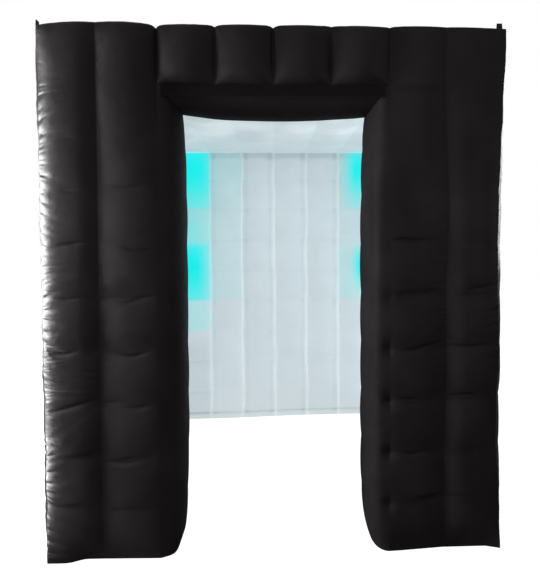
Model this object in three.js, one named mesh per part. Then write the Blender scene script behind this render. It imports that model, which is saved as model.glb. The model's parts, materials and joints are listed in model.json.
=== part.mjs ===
// Inflatable photo booth: a walk-in box of cloth with a doorway in its front and no floor.
// Each wall is two cloth skins, black outside and white inside, blown apart by air and
// quilted into upright columns with a lighter seam at every row. Rolls of cloth close the
// wall round the doorway and flat strips close it underneath.
// Millimetres, +Z up, the doorway facing -Y, the origin on the floor under the middle.

import * as THREE from "three";

// Driving dimensions, from seam to seam
const BOOTH_WIDTH = 2100;
const BOOTH_DEPTH = 2100;
const BOOTH_HEIGHT = 2400;
const FACE_COLUMNS = 8; // quilted columns across each outer face
const FACE_ROWS = 10; // rows up each outer face
const DOOR_COLUMNS = 4; // columns left out of the front for the doorway

// Cloth
const CLOTH = 3; // thickness of a panel
const SEAM_SLACK = 0.22; // each panel stops this short of its seam
const OUTER_CROWN = 48; // how far a full column of the black skin stands proud of its seams
const INNER_CROWN = 42; // the same for the white skin
const ARC_SHOULDER = 0.78; // share of the crown a quarter of the way across a column
const END_FILL = 0.86; // share of the crown half a row in from the end of a column

// The roll of cloth round the doorway
const DOOR_HEIGHT = 2148; // of the front seam over the doorway
const ROLL_STEPS = 8; // facets round its half circle
const ROLL_ROW_DIP = 5; // how far each row seam draws it in
const JAMB_BULGE = 104; // how far the roll beside the doorway stands out
const JAMB_TOP_BULGE = 90; // the same at its top end
const JAMB_TOP_EASE = 150; // height over which it draws in to that
const LINTEL_BULGE = 107; // how far the roll over the doorway hangs at its ends
const LINTEL_BELLY = 28; // how much further its middle hangs
const LINTEL_STEPS = 8;
const FOOT_STEPS = [60, 120]; // heights of the extra sections near the floor
const SQUARE_FOOT_HEIGHT = 240; // height by which a roll's foot has turned into its section
const ROUND_FROM = 1680; // height from which its section turns to the lintel's half round

// Each roll beside the doorway: its share of the bulge at the floor and the height over which it swells,
// how round it is at the floor and above, 1 for an ellipse, and how steeply it falls from its front seam
const LEFT_JAMB = { footShare: 0.66, footEase: 200, footRoundness: 0.4, roundness: 0.75, fall: 0.16 };
const RIGHT_JAMB = { footShare: 0.62, footEase: 100, footRoundness: 0.8, roundness: 0.62, fall: 0.12 };

// Share of the crown at each quarter of a column: between two seams, and over the columns of a pier,
// which lean towards the doorway and run on into its roll
const CLOSED_ARC = [0, ARC_SHOULDER, 1, ARC_SHOULDER, 0];
const LEFT_FIRST = [0, 0.67, 0.94, 1, 0];
const LEFT_RUN = [0.3, 0.72, 0.94, 1, 0.9];
const RIGHT_RUN = [0.92, 1, 0.93, 0.73, 0];
const RIGHT_LAST = [0.42, 0.97, 0.93, 0.6, 0];
const FLAT_TOP = { from: 1680, to: 2160, share: 0.7 }; // where the right pier flattens, and by how much
const CREST_SHARE = 0.8; // lines fuller than this dip at the row seams
const RUN_KNOTS = [[0, 0], [120, END_FILL], [240, 1], [1680, 1], [2016, 0]]; // height, share of the run-on

// Hook-and-loop tape under the front header, for a banner or a curtain
const TAPE = { length: 1010, height: 52, thickness: 2.5, drop: 0.8, standOff: 0.35 };

// Folded webbing tabs on the top corners
const TAB = { width: 26, height: 31, layer: 1.8, fold: 1.4, fromCorner: 7, seat: 0.15, roundSteps: 8 };

// How full each column of a face is blown, from its left to its right
const COLUMN_FULLNESS = [1, 0.94, 0.97, 1, 0.95, 0.98, 0.93, 1];

// How far the crown drops at each row seam, from the floor up
const ROW_DIPS = [7, 10, 11, 11, 9, 8, 5, 4, 4];

// Sizes that follow from those above
const COLUMN = BOOTH_WIDTH / FACE_COLUMNS;
const ROW = BOOTH_HEIGHT / FACE_ROWS;
const WALL = COLUMN;
const HALF_WIDTH = BOOTH_WIDTH / 2;
const HALF_DEPTH = BOOTH_DEPTH / 2;
const ROOM_HALF_WIDTH = HALF_WIDTH - WALL;
const ROOM_HALF_DEPTH = HALF_DEPTH - WALL;
const ROOM_ROWS = FACE_ROWS - 1;
const ROOM_HEIGHT = ROOM_ROWS * ROW;
const ROOM_COLUMNS = FACE_COLUMNS - 2;
const DOOR_HALF_WIDTH = (DOOR_COLUMNS * COLUMN) / 2;
const PIER_COLUMNS = (FACE_COLUMNS - DOOR_COLUMNS) / 2;

const HEADER_HEIGHT = BOOTH_HEIGHT - DOOR_HEIGHT;
const SEAM_RISE = ROOM_HEIGHT - DOOR_HEIGHT; // the room's seam over the doorway is this much higher
const LEFT_SEAM_LIFT = LEFT_RUN[4] * COLUMN_FULLNESS[PIER_COLUMNS - 1] * OUTER_CROWN;
const RIGHT_SEAM_LIFT = RIGHT_RUN[0] * COLUMN_FULLNESS[PIER_COLUMNS + DOOR_COLUMNS] * OUTER_CROWN;

// Directions in the booth
const RIGHT = new THREE.Vector3(1, 0, 0);
const LEFT = new THREE.Vector3(-1, 0, 0);
const BACK = new THREE.Vector3(0, 1, 0);
const FRONT = new THREE.Vector3(0, -1, 0);
const UP = new THREE.Vector3(0, 0, 1);

// How a panel's edge is finished: how far it stops short, and how far its air side is mitred back
const CORNER = { trim: SEAM_SLACK, mitre: CLOTH }; // meets another panel round an outside corner
const FLUSH = { trim: SEAM_SLACK, mitre: 0 }; // meets a panel in its plane or in an inside corner
const FLOOR = { trim: 0, mitre: 0 }; // stands on the floor

const blackCloth = new THREE.MeshStandardMaterial({ color: 0x1b1a1c, roughness: 0.62, metalness: 0 });
const whiteCloth = new THREE.MeshStandardMaterial({ color: 0xd6e0e6, roughness: 0.75, metalness: 0 });
const hookTape = new THREE.MeshStandardMaterial({ color: 0x0c0b0e, roughness: 0.9, metalness: 0 });
const webbing = new THREE.MeshStandardMaterial({ color: 0x131215, roughness: 0.8, metalness: 0 });

// The share of a pier's run-on into its roll that is left at a height
function runAt(height) {
  const above = RUN_KNOTS.findIndex(([knot]) => knot >= height);
  if (above < 0) return 0;
  if (above === 0) return RUN_KNOTS[0][1];
  const [[lowHeight, lowShare], [highHeight, highShare]] = RUN_KNOTS.slice(above - 1, above + 1);
  return THREE.MathUtils.mapLinear(height, lowHeight, highHeight, lowShare, highShare);
}

// A cloth sheet under construction: the lines of points on its visible face and on its air side
class Sheet {
  constructor() {
    this.positions = [];
    this.triangles = [];
    this.faceLines = [];
    this.backLines = [];
  }

  point(along, x, y, z) {
    this.positions.push(x, y, z);
    return { along, index: this.positions.length / 3 - 1 };
  }

  // Fills the strip between two lines that run the same way, stepping up the line that lags
  strip(left, right, flip) {
    let i = 0;
    let j = 0;
    while (i < left.length - 1 || j < right.length - 1) {
      const rightIsDone = j === right.length - 1;
      const leftIsNext = i < left.length - 1 && (rightIsDone || left[i + 1].along <= right[j + 1].along);
      const next = leftIsNext ? left[i + 1] : right[j + 1];
      const corners = [left[i].index, right[j].index, next.index];
      this.triangles.push(...(flip ? corners.reverse() : corners));
      if (leftIsNext) i += 1;
      else j += 1;
    }
  }

  // The outline of one side of the sheet, as a closed loop
  outline(lines) {
    const first = lines[0];
    const last = lines[lines.length - 1];
    const inner = lines.slice(1, -1);
    return [
      ...first.slice().reverse(),
      ...inner.map((line) => line[0]),
      ...last,
      ...inner.map((line) => line[line.length - 1]).reverse(),
    ].map((p) => p.index);
  }

  geometry() {
    for (let i = 0; i < this.faceLines.length - 1; i += 1) {
      this.strip(this.faceLines[i], this.faceLines[i + 1], false);
      this.strip(this.backLines[i], this.backLines[i + 1], true);
    }
    const face = this.outline(this.faceLines);
    const back = this.outline(this.backLines);
    face.forEach((a, i) => {
      const b = face[(i + 1) % face.length];
      const c = back[(i + 1) % back.length];
      const d = back[i];
      this.triangles.push(a, d, b, b, d, c);
    });
    return new THREE.BufferGeometry()
      .setAttribute("position", new THREE.Float32BufferAttribute(this.positions, 3))
      .setIndex(this.triangles);
  }
}

// A quilted panel, with x across its columns, y along them and z out of its visible face.
// Columns in its runs follow their own arc, as far up as a run-on into a roll goes.
function quiltedPanel({ columns, rows, rowHeight = ROW, crown, firstColumn = 0, runs = [], flatTop, edges }) {
  const width = columns * COLUMN;
  const sheet = new Sheet();

  // Where the points of a line lie: every row, with half rows where its height changes between them
  const stationsOf = (isCrest, isOpen, share) => {
    const halves = isCrest ? [...Array(rows).keys()] : share > 0 ? [0, rows - 1] : [];
    const seams = [...Array(rows + 1).keys()];
    const knots = isOpen ? RUN_KNOTS.map(([knot]) => knot / rowHeight) : [];
    return [...new Set([...seams, ...halves.map((row) => row + 0.5), ...knots])].sort((a, b) => a - b);
  };

  const heightAt = (fullness, share, isCrest, station) => {
    if (station === 0 || station === rows) return 0;
    if (station === 0.5 || station === rows - 0.5) return END_FILL * share * fullness * crown;
    const dip = isCrest && Number.isInteger(station) ? ROW_DIPS[station - 1] : 0;
    return share * fullness * crown - dip;
  };

  // What is left of the crown at a height where the panel flattens towards its top
  const leftOver = (height) => {
    if (!flatTop) return 1;
    const way = THREE.MathUtils.clamp((height - flatTop.from) / (flatTop.to - flatTop.from), 0, 1);
    return 1 - flatTop.share * way;
  };

  const addLine = (x, fullness, closedShare, openShare) => {
    const sideEdge = x === 0 ? edges.left : x === width ? edges.right : null;
    const inwards = x === 0 ? 1 : -1;
    const isOpen = openShare !== closedShare;
    const isCrest = !sideEdge && Math.max(closedShare, openShare) > CREST_SHARE;
    const face = [];
    const back = [];
    for (const station of stationsOf(isCrest, isOpen && sideEdge !== null, closedShare)) {
      const endEdge = station === 0 ? edges.bottom : station === rows ? edges.top : null;
      const upwards = station === 0 ? 1 : -1;
      const run = runAt(station * rowHeight);
      const openness = sideEdge ? run : Math.min(1, run / END_FILL);
      const share = THREE.MathUtils.lerp(closedShare, openShare, openness);
      const inner = share * leftOver(station * rowHeight);
      const z = sideEdge ? share * fullness * crown : heightAt(fullness, inner, isCrest, station);
      const faceX = x + (sideEdge ? inwards * sideEdge.trim : 0);
      const faceY = station * rowHeight + (endEdge ? upwards * endEdge.trim : 0);
      const backX = faceX + (sideEdge ? inwards * sideEdge.mitre : 0);
      const backY = faceY + (endEdge ? upwards * endEdge.mitre : 0);
      face.push(sheet.point(station, faceX, faceY, z));
      back.push(sheet.point(station, backX, backY, z - CLOTH));
    }
    sheet.faceLines.push(face);
    sheet.backLines.push(back);
  };

  for (let column = 0; column < columns; column += 1) {
    const fullness = COLUMN_FULLNESS[firstColumn + column];
    const arc = runs[column] ?? CLOSED_ARC;
    const quarters = column === columns - 1 ? [0, 1, 2, 3, 4] : [0, 1, 2, 3];
    quarters.forEach((q) => addLine((column + q / 4) * COLUMN, fullness, CLOSED_ARC[q], arc[q]));
  }
  return sheet.geometry();
}

// A half-round roll across the wall's thickness, with x from one seam to the other, y along it
// and z out of its visible face. A mitred end is cut back by a share of what the roll stands out.
function edgeRoll({ length, stations, bulgeAt, liftAt, fallAt, roundnessAt, cut, isLintel, startsAtBack }) {
  const sheet = new Sheet();
  const halfWall = WALL / 2;

  const pointAt = (angle, station, thickness) => {
    const roundness = roundnessAt(station);
    const side = Math.sign(Math.cos(angle)) * Math.abs(Math.cos(angle)) ** roundness;
    const bulge = Math.sin(angle) ** roundness * (bulgeAt(station) - thickness);
    const frontShare = startsAtBack ? (1 - side) / 2 : (1 + side) / 2;
    const lift = (startsAtBack ? 1 : -1) * frontShare * (liftAt(station) - fallAt(station) * bulge);
    const across = halfWall - side * (halfWall - SEAM_SLACK - thickness) + lift;
    const rise = (1 - frontShare) * SEAM_RISE;
    const cutBack = SEAM_SLACK + (bulge + SEAM_SLACK) * cut;
    const start = isLintel ? cutBack : 0;
    const end = length - cutBack + (isLintel ? 0 : rise);
    const along = Math.min(Math.max(station === length ? end : station, start), end);
    return sheet.point(station, across, along, bulge + SEAM_SLACK - (isLintel ? rise : 0));
  };

  // Stations that a mitre would cut off at the roll's crown are dropped, so no two points of a line meet
  const deepest = Math.max(...stations.map(bulgeAt)) * cut + 2 * SEAM_SLACK;
  const kept = stations.filter((station) => {
    const clearOfStart = !isLintel || station === 0 || station > deepest;
    return clearOfStart && (station === length || station < length - deepest);
  });

  for (let step = 0; step <= ROLL_STEPS; step += 1) {
    const angle = (Math.PI * step) / ROLL_STEPS;
    sheet.faceLines.push(kept.map((station) => pointAt(angle, station, 0)));
    sheet.backLines.push(kept.map((station) => pointAt(angle, station, CLOTH)));
  }
  return sheet.geometry();
}

// How far the roll beside the doorway stands out at a height: swelling from its foot, drawn in at each row
function jambBulge(jamb) {
  return (height) => {
    const swell = 1 - (1 - jamb.footShare) * Math.exp(-height / jamb.footEase);
    const drawnIn = (JAMB_BULGE - JAMB_TOP_BULGE) * Math.exp((height - DOOR_HEIGHT) / JAMB_TOP_EASE);
    const onRowSeam = height > 0 && height % ROW === 0;
    return swell * JAMB_BULGE - drawnIn - (onRowSeam ? ROLL_ROW_DIP : 0);
  };
}

function jambRoll(jamb, seamLift, startsAtBack) {
  const heights = [0, ...FOOT_STEPS, ...RUN_KNOTS.map(([knot]) => knot), DOOR_HEIGHT];
  for (let half = 2; half < ROOM_ROWS * 2; half += 1) heights.push((half * ROW) / 2);
  return edgeRoll({
    length: DOOR_HEIGHT,
    stations: [...new Set(heights)].sort((a, b) => a - b),
    bulgeAt: jambBulge(jamb),
    liftAt: (height) => seamLift * runAt(height),
    fallAt: (height) => jamb.fall * runAt(height),
    roundnessAt: (height) => {
      const turned = Math.min(1, height / SQUARE_FOOT_HEIGHT);
      const rounded = THREE.MathUtils.smoothstep(height, ROUND_FROM, DOOR_HEIGHT);
      const section = THREE.MathUtils.lerp(jamb.roundness, 1, rounded);
      return THREE.MathUtils.lerp(jamb.footRoundness, section, turned);
    },
    cut: LINTEL_BULGE / JAMB_TOP_BULGE,
    startsAtBack,
  });
}

function lintelRoll() {
  const length = 2 * DOOR_HALF_WIDTH;
  const stations = [...Array(LINTEL_STEPS + 1).keys()].map((step) => (step * length) / LINTEL_STEPS);
  const bulgeAt = (station) => {
    const offCentre = station / DOOR_HALF_WIDTH - 1;
    return LINTEL_BULGE + LINTEL_BELLY * (1 - offCentre * offCentre);
  };
  return edgeRoll({
    length,
    stations,
    bulgeAt,
    liftAt: () => 0,
    fallAt: () => 0,
    roundnessAt: () => 1,
    cut: JAMB_TOP_BULGE / LINTEL_BULGE,
    isLintel: true,
  });
}

// Stands a piece at a corner of the booth, its x running across and its y along
function place(name, geometry, material, corner, across, along) {
  const mesh = new THREE.Mesh(geometry, material);
  const out = new THREE.Vector3().crossVectors(across, along);
  mesh.name = name;
  mesh.position.set(...corner);
  mesh.quaternion.setFromRotationMatrix(new THREE.Matrix4().makeBasis(across, along, out));
  return mesh;
}

function outerSkin() {
  const skin = new THREE.Group();
  const wholeEdges = { left: CORNER, right: CORNER, bottom: FLOOR, top: CORNER };
  const whole = { columns: FACE_COLUMNS, rows: FACE_ROWS, crown: OUTER_CROWN, edges: wholeEdges };
  const pier = { columns: PIER_COLUMNS, rows: FACE_ROWS, crown: OUTER_CROWN };
  const leftPier = {
    ...pier,
    runs: [LEFT_FIRST, LEFT_RUN],
    edges: { ...wholeEdges, right: FLUSH },
  };
  const rightPier = {
    ...pier,
    firstColumn: PIER_COLUMNS + DOOR_COLUMNS,
    runs: [RIGHT_RUN, RIGHT_LAST],
    flatTop: FLAT_TOP,
    edges: { ...wholeEdges, left: FLUSH },
  };
  const header = {
    columns: DOOR_COLUMNS,
    rows: 1,
    rowHeight: HEADER_HEIGHT,
    crown: OUTER_CROWN,
    firstColumn: PIER_COLUMNS,
    edges: { left: FLUSH, right: FLUSH, bottom: FLUSH, top: CORNER },
  };
  const roof = {
    columns: FACE_COLUMNS,
    rows: FACE_COLUMNS,
    rowHeight: BOOTH_DEPTH / FACE_COLUMNS,
    crown: OUTER_CROWN,
    edges: { left: CORNER, right: CORNER, bottom: CORNER, top: CORNER },
  };
  const [x, y, door] = [HALF_WIDTH, HALF_DEPTH, DOOR_HALF_WIDTH];
  const panels = [
    { name: "front_left_panel", panel: leftPier, corner: [-x, -y, 0], across: RIGHT, along: UP },
    { name: "front_right_panel", panel: rightPier, corner: [door, -y, 0], across: RIGHT, along: UP },
    { name: "front_header", panel: header, corner: [-door, -y, DOOR_HEIGHT], across: RIGHT, along: UP },
    { name: "left_side_panel", panel: whole, corner: [-x, y, 0], across: FRONT, along: UP },
    { name: "right_side_panel", panel: whole, corner: [x, -y, 0], across: BACK, along: UP },
    { name: "back_panel", panel: whole, corner: [x, y, 0], across: LEFT, along: UP },
    { name: "roof_panel", panel: roof, corner: [-x, -y, BOOTH_HEIGHT], across: RIGHT, along: BACK },
  ];
  for (const { name, panel, corner, across, along } of panels) {
    skin.add(place(name, quiltedPanel(panel), blackCloth, corner, across, along));
  }
  return skin;
}

function innerSkin() {
  const skin = new THREE.Group();
  const wallEdges = { left: FLUSH, right: FLUSH, bottom: FLOOR, top: FLUSH };
  const wall = {
    columns: ROOM_COLUMNS,
    rows: ROOM_ROWS,
    crown: INNER_CROWN,
    firstColumn: 1,
    edges: wallEdges,
  };
  const pier = { ...wall, columns: PIER_COLUMNS - 1 };
  const ceiling = {
    columns: ROOM_COLUMNS,
    rows: ROOM_COLUMNS,
    rowHeight: (2 * ROOM_HALF_DEPTH) / ROOM_COLUMNS,
    crown: INNER_CROWN,
    firstColumn: 1,
    edges: { left: FLUSH, right: FLUSH, bottom: FLUSH, top: FLUSH },
  };
  const [x, y] = [ROOM_HALF_WIDTH, ROOM_HALF_DEPTH];
  const panels = [
    { name: "back_lining", panel: wall, corner: [-x, y, 0], across: RIGHT, along: UP },
    { name: "left_lining", panel: wall, corner: [-x, -y, 0], across: BACK, along: UP },
    { name: "right_lining", panel: wall, corner: [x, y, 0], across: FRONT, along: UP },
    { name: "front_left_lining", panel: pier, corner: [-DOOR_HALF_WIDTH, -y, 0], across: LEFT, along: UP },
    { name: "front_right_lining", panel: pier, corner: [x, -y, 0], across: LEFT, along: UP },
    { name: "ceiling_lining", panel: ceiling, corner: [-x, y, ROOM_HEIGHT], across: RIGHT, along: FRONT },
  ];
  for (const { name, panel, corner, across, along } of panels) {
    skin.add(place(name, quiltedPanel(panel), whiteCloth, corner, across, along));
  }
  return skin;
}

function doorway() {
  const door = new THREE.Group();
  const front = -HALF_DEPTH;
  const leftRoll = jambRoll(LEFT_JAMB, LEFT_SEAM_LIFT, false);
  const rightRoll = jambRoll(RIGHT_JAMB, RIGHT_SEAM_LIFT, true);
  door.add(
    place("left_jamb_roll", leftRoll, blackCloth, [-DOOR_HALF_WIDTH, front, 0], BACK, UP),
    place("right_jamb_roll", rightRoll, blackCloth, [DOOR_HALF_WIDTH, front + WALL, 0], FRONT, UP),
    place("lintel_roll", lintelRoll(), blackCloth, [-DOOR_HALF_WIDTH, front, DOOR_HEIGHT], BACK, RIGHT),
  );
  const tape = new THREE.Mesh(new THREE.BoxGeometry(TAPE.length, TAPE.thickness, TAPE.height), hookTape);
  tape.name = "banner_tape";
  tape.position.set(0, front - TAPE.standOff - TAPE.thickness / 2, DOOR_HEIGHT - TAPE.drop - TAPE.height / 2);
  door.add(tape);
  return door;
}

// The flat strips that close the walls underneath
function baseStrips() {
  const base = new THREE.Group();
  const inset = CLOTH + 3 * SEAM_SLACK;
  const stripWidth = WALL - 2 * inset;
  const wallMiddle = HALF_WIDTH - WALL / 2;

  const addBox = (name, width, depth, x, y) => {
    const strip = new THREE.Mesh(new THREE.BoxGeometry(width, depth, CLOTH), blackCloth);
    strip.name = name;
    strip.position.set(x, y, CLOTH / 2);
    base.add(strip);
  };
  const sideLength = BOOTH_DEPTH - 2 * inset;
  addBox("left_base", stripWidth, sideLength, -wallMiddle, 0);
  addBox("right_base", stripWidth, sideLength, wallMiddle, 0);
  addBox("back_base", 2 * (ROOM_HALF_WIDTH + CLOTH), stripWidth, 0, HALF_DEPTH - WALL / 2);

  // Under each pier the strip runs on into the foot of the roll
  const addPier = (name, side, jamb) => {
    const halfStrip = stripWidth / 2;
    const noseLength = jambBulge(jamb)(0) - inset;
    const outline = new THREE.Shape();
    outline.moveTo(ROOM_HALF_WIDTH + CLOTH, -halfStrip);
    outline.lineTo(ROOM_HALF_WIDTH + CLOTH, halfStrip);
    for (let step = 0; step <= ROLL_STEPS; step += 1) {
      const angle = (Math.PI * step) / ROLL_STEPS;
      const side = Math.sign(Math.cos(angle)) * Math.abs(Math.cos(angle)) ** jamb.footRoundness;
      outline.lineTo(DOOR_HALF_WIDTH - noseLength * Math.sin(angle) ** jamb.footRoundness, halfStrip * side);
    }
    const strip = new THREE.Mesh(
      new THREE.ExtrudeGeometry(outline, { depth: CLOTH, bevelEnabled: false }),
      blackCloth,
    );
    strip.name = name;
    strip.position.y = -HALF_DEPTH + WALL / 2;
    if (side === LEFT) {
      strip.position.z = CLOTH;
      strip.rotation.y = Math.PI;
    }
    base.add(strip);
  };
  addPier("front_left_base", LEFT, LEFT_JAMB);
  addPier("front_right_base", RIGHT, RIGHT_JAMB);
  return base;
}

// A webbing tab folded over on itself, its fold uppermost, standing on a top seam
function webbingTab() {
  const outerRadius = TAB.layer + TAB.fold / 2;
  const foldCentre = TAB.height - outerRadius;
  const profile = new THREE.Shape();
  profile.moveTo(TAB.fold / 2, 0);
  profile.lineTo(outerRadius, 0);
  profile.lineTo(outerRadius, foldCentre);
  profile.absarc(0, foldCentre, outerRadius, 0, Math.PI, false);
  profile.lineTo(-outerRadius, 0);
  profile.lineTo(-TAB.fold / 2, 0);
  profile.lineTo(-TAB.fold / 2, foldCentre);
  profile.absarc(0, foldCentre, TAB.fold / 2, Math.PI, 0, true);
  const options = { depth: TAB.width, bevelEnabled: false, curveSegments: TAB.roundSteps };
  return new THREE.ExtrudeGeometry(profile, options);
}

// One tab at each top corner, on the seam that runs into it from the left
function cornerTabs() {
  const names = ["front_right_tab", "back_right_tab", "back_left_tab", "front_left_tab"];
  const tabs = new THREE.Group();
  const fromMiddle = HALF_WIDTH - TAB.fromCorner - TAB.width;
  const halfThickness = TAB.layer + TAB.fold / 2;
  names.forEach((name, quarterTurns) => {
    const corner = new THREE.Group();
    corner.rotation.z = (quarterTurns * Math.PI) / 2;
    const start = [fromMiddle, -HALF_DEPTH - halfThickness, BOOTH_HEIGHT + TAB.seat];
    corner.add(place(name, webbingTab(), webbing, start, BACK, UP));
    tabs.add(corner);
  });
  return tabs;
}

const booth = new THREE.Group();
booth.add(outerSkin(), innerSkin(), doorway(), baseStrips(), cornerTabs());

export default booth;
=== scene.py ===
"""Dresses the inflatable photo booth: quilted cloth over walls full of air, in metres."""

import json
import logging
import math
from dataclasses import dataclass, field
from enum import Enum

import bpy
import numpy as np
from mathutils import Matrix, Vector

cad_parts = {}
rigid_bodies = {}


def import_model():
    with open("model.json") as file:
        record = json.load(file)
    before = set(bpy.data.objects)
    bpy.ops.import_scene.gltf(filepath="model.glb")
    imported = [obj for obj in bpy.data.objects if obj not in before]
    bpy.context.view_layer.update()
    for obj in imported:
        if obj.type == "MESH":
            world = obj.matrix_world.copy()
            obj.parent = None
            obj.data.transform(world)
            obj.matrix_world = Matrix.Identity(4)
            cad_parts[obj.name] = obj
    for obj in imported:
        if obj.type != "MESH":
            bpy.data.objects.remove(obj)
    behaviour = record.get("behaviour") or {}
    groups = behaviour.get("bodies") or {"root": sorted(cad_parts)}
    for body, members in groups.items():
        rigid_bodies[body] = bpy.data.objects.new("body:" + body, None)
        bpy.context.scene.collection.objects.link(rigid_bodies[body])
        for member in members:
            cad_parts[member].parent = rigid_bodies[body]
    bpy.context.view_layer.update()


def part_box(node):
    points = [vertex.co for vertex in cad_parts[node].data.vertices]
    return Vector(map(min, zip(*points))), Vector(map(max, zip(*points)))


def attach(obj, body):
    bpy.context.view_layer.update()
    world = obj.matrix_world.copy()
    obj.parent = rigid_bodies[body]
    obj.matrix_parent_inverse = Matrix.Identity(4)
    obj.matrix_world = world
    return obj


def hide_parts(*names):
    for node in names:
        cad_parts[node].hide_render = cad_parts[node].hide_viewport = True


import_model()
BODY = "root"
LOG = logging.getLogger("photo_booth")

Array = np.ndarray
Pair = tuple[float, float]
Triple = tuple[float, float, float]
Material = bpy.types.Material
Piece = bpy.types.Object
Socket = bpy.types.NodeSocket
# Depths of a crease and of a dimple at which their painted shade is full.
DEEP_CREASE = 0.009
DEEP_DIMPLE = 0.04
LEFT: Triple = (-1.0, 0.0, 0.0)
RIGHT: Triple = (1.0, 0.0, 0.0)
FRONT: Triple = (0.0, -1.0, 0.0)
BACK: Triple = (0.0, 1.0, 0.0)
UP: Triple = (0.0, 0.0, 1.0)


class Slot(Enum):
    """The record's material slots."""

    BLACK_CLOTH = "black_cloth"
    WHITE_CLOTH = "white_cloth"
    HOOK_TAPE = "hook_tape"
    WEBBING = "webbing"


class EdgeKind(Enum):
    """What the edge of a panel is sewn to: how high its gathers are, and the length a column closes in."""

    OUTSIDE_CORNER = (0.0095, 0.15)
    INSIDE_CORNER = (0.003, 0.07)
    DOOR = (0.003, 0.11)
    FLOOR = (0.003, 0.12)


class Grain(Enum):
    """How finely a piece is meshed: points across a quarter of its columns, and the step along them."""

    FINE = ((0.0, 0.003, 0.008, 0.016, 0.027, 0.042, 0.062, 0.086, 0.109), 0.004)
    PLAIN = ((0.0, 0.005, 0.015, 0.034, 0.063, 0.098), 0.012)


@dataclass(frozen=True)
class BoothPlan:
    """The booth's sizes, from seam to seam."""

    width: float = 2.1
    height: float = 2.4
    columns: int = 8
    rows: int = 10
    door_columns: int = 4
    door_height: float = 2.148
    cloth: float = 0.002

    @property
    def column(self) -> float:
        """Width of a quilted column, which is also the thickness of a wall."""
        return self.width / self.columns

    @property
    def row(self) -> float:
        """Height of a quilted row."""
        return self.height / self.rows

    @property
    def half(self) -> float:
        """Half of the booth's width and of its depth."""
        return self.width / 2

    @property
    def room_half(self) -> float:
        """Half of the room's width and of its depth."""
        return self.half - self.column

    @property
    def room_height(self) -> float:
        """Height of the room."""
        return self.height - self.row

    @property
    def door_half(self) -> float:
        """Half of the doorway's width between its seams."""
        return self.column * self.door_columns / 2


PLAN = BoothPlan()


def smooth_rise(low: float, high: float, x: Array) -> Array:
    """A smooth step.

    Args:
        low: Where it starts to rise.
        high: Where it reaches one.
        x: Places to evaluate it at.

    Returns:
        Values from 0 to 1.
    """
    t = np.clip((x - low) / (high - low), 0.0, 1.0)
    return t * t * (3.0 - 2.0 * t)


def dimple(across: Array, along: Array, half: Pair = (0.017, 0.03), soft: float = 0.4) -> Array:
    """A soft four-cornered dimple, longer along the seam than across it.

    Args:
        across: Distances from its middle across the seam.
        along: Distances along the seam.
        half: Half of its width and of its length.
        soft: How rounded its middle is.

    Returns:
        Shares of its depth.
    """
    far = np.hypot(across / half[0], soft) + np.hypot(along / half[1], soft) - 2.0 * soft
    return np.exp(-far)


class Ripple:
    """Smooth unevenness of the cloth, the same on every run."""

    def __init__(self, seed: int, length: float, waves: int = 7, range_of: Pair = (0.65, 1.6)) -> None:
        """Draws the waves.

        Args:
            seed: Which ripple it is.
            length: Mean length of the waves.
            waves: How many are added up.
            range_of: The shortest and the longest, as shares of that length.
        """
        rng = np.random.default_rng(seed)
        turn = rng.uniform(0.0, 2.0 * math.pi, waves)
        pace = 2.0 * math.pi / (length * rng.uniform(*range_of, waves))
        self.u_pace = pace * np.cos(turn)
        self.v_pace = pace * np.sin(turn)
        self.start = rng.uniform(0.0, 2.0 * math.pi, waves)

    def at(self, u: Array, v: Array) -> Array:
        """Evaluates the ripple.

        Args:
            u: Places across.
            v: Places along.

        Returns:
            Values mostly from -1 to 1.
        """
        parts = [np.sin(a * u + b * v + c) for a, b, c in zip(self.u_pace, self.v_pace, self.start)]
        return sum(parts) / math.sqrt(len(parts))


@dataclass(frozen=True)
class Gather:
    """The gathers that a seam leaves in the cloth beside it: short ones at the seam, longer ones behind."""

    strength: float
    seed: int
    tiers: tuple[Triple, ...] = (
        (0.019, 0.020, 0.75),
        (0.043, 0.040, 0.85),
        (0.105, 0.085, 0.45),
    )
    stitch: float = 0.004
    span: float = 3.2
    spread: float = 1.0
    widths: Pair = (0.5, 1.6)
    depths: Pair = (0.15, 1.0)
    mean: float = 0.62
    slant: float = 0.35
    slant_wave: float = 0.45
    fade: float = 1.2

    def pleats(self, along: Array, pitch: float, seed: int) -> Array:
        """Ridges with sharp valleys between them, uneven in width and height.

        Args:
            along: Places along the seam.
            pitch: Mean distance between valleys.
            seed: Which row of pleats it is.

        Returns:
            Heights with a mean near zero.
        """
        rng = np.random.default_rng(seed)
        count = int(2.0 * self.span / pitch)
        valleys = np.cumsum(pitch * rng.uniform(*self.widths, count)) - self.span
        phase = np.interp(along, valleys, np.arange(count))
        depth = np.interp(phase, np.arange(count), rng.uniform(*self.depths, count))
        return depth * (np.abs(np.sin(math.pi * phase)) - self.mean)

    def height(self, along: Array, distance: Array) -> Array:
        """How far the gathers lift the cloth.

        Args:
            along: Places along the seam.
            distance: Distance from the seam.

        Returns:
            Heights out of the cloth.
        """
        wave = Ripple(self.seed + 7, self.slant_wave).at(along, 0.0 * along)
        slant = self.slant * self.spread * wave
        total = np.zeros_like(along)
        for tier, (pitch, reach, share) in enumerate(self.tiers):
            ridges = self.pleats(along + slant * distance, pitch, self.seed + tier)
            total += share * ridges * np.exp(-((distance / (reach * self.spread)) ** self.fade))
        return self.strength * total * (1.0 - np.exp(-distance / self.stitch))


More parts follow.
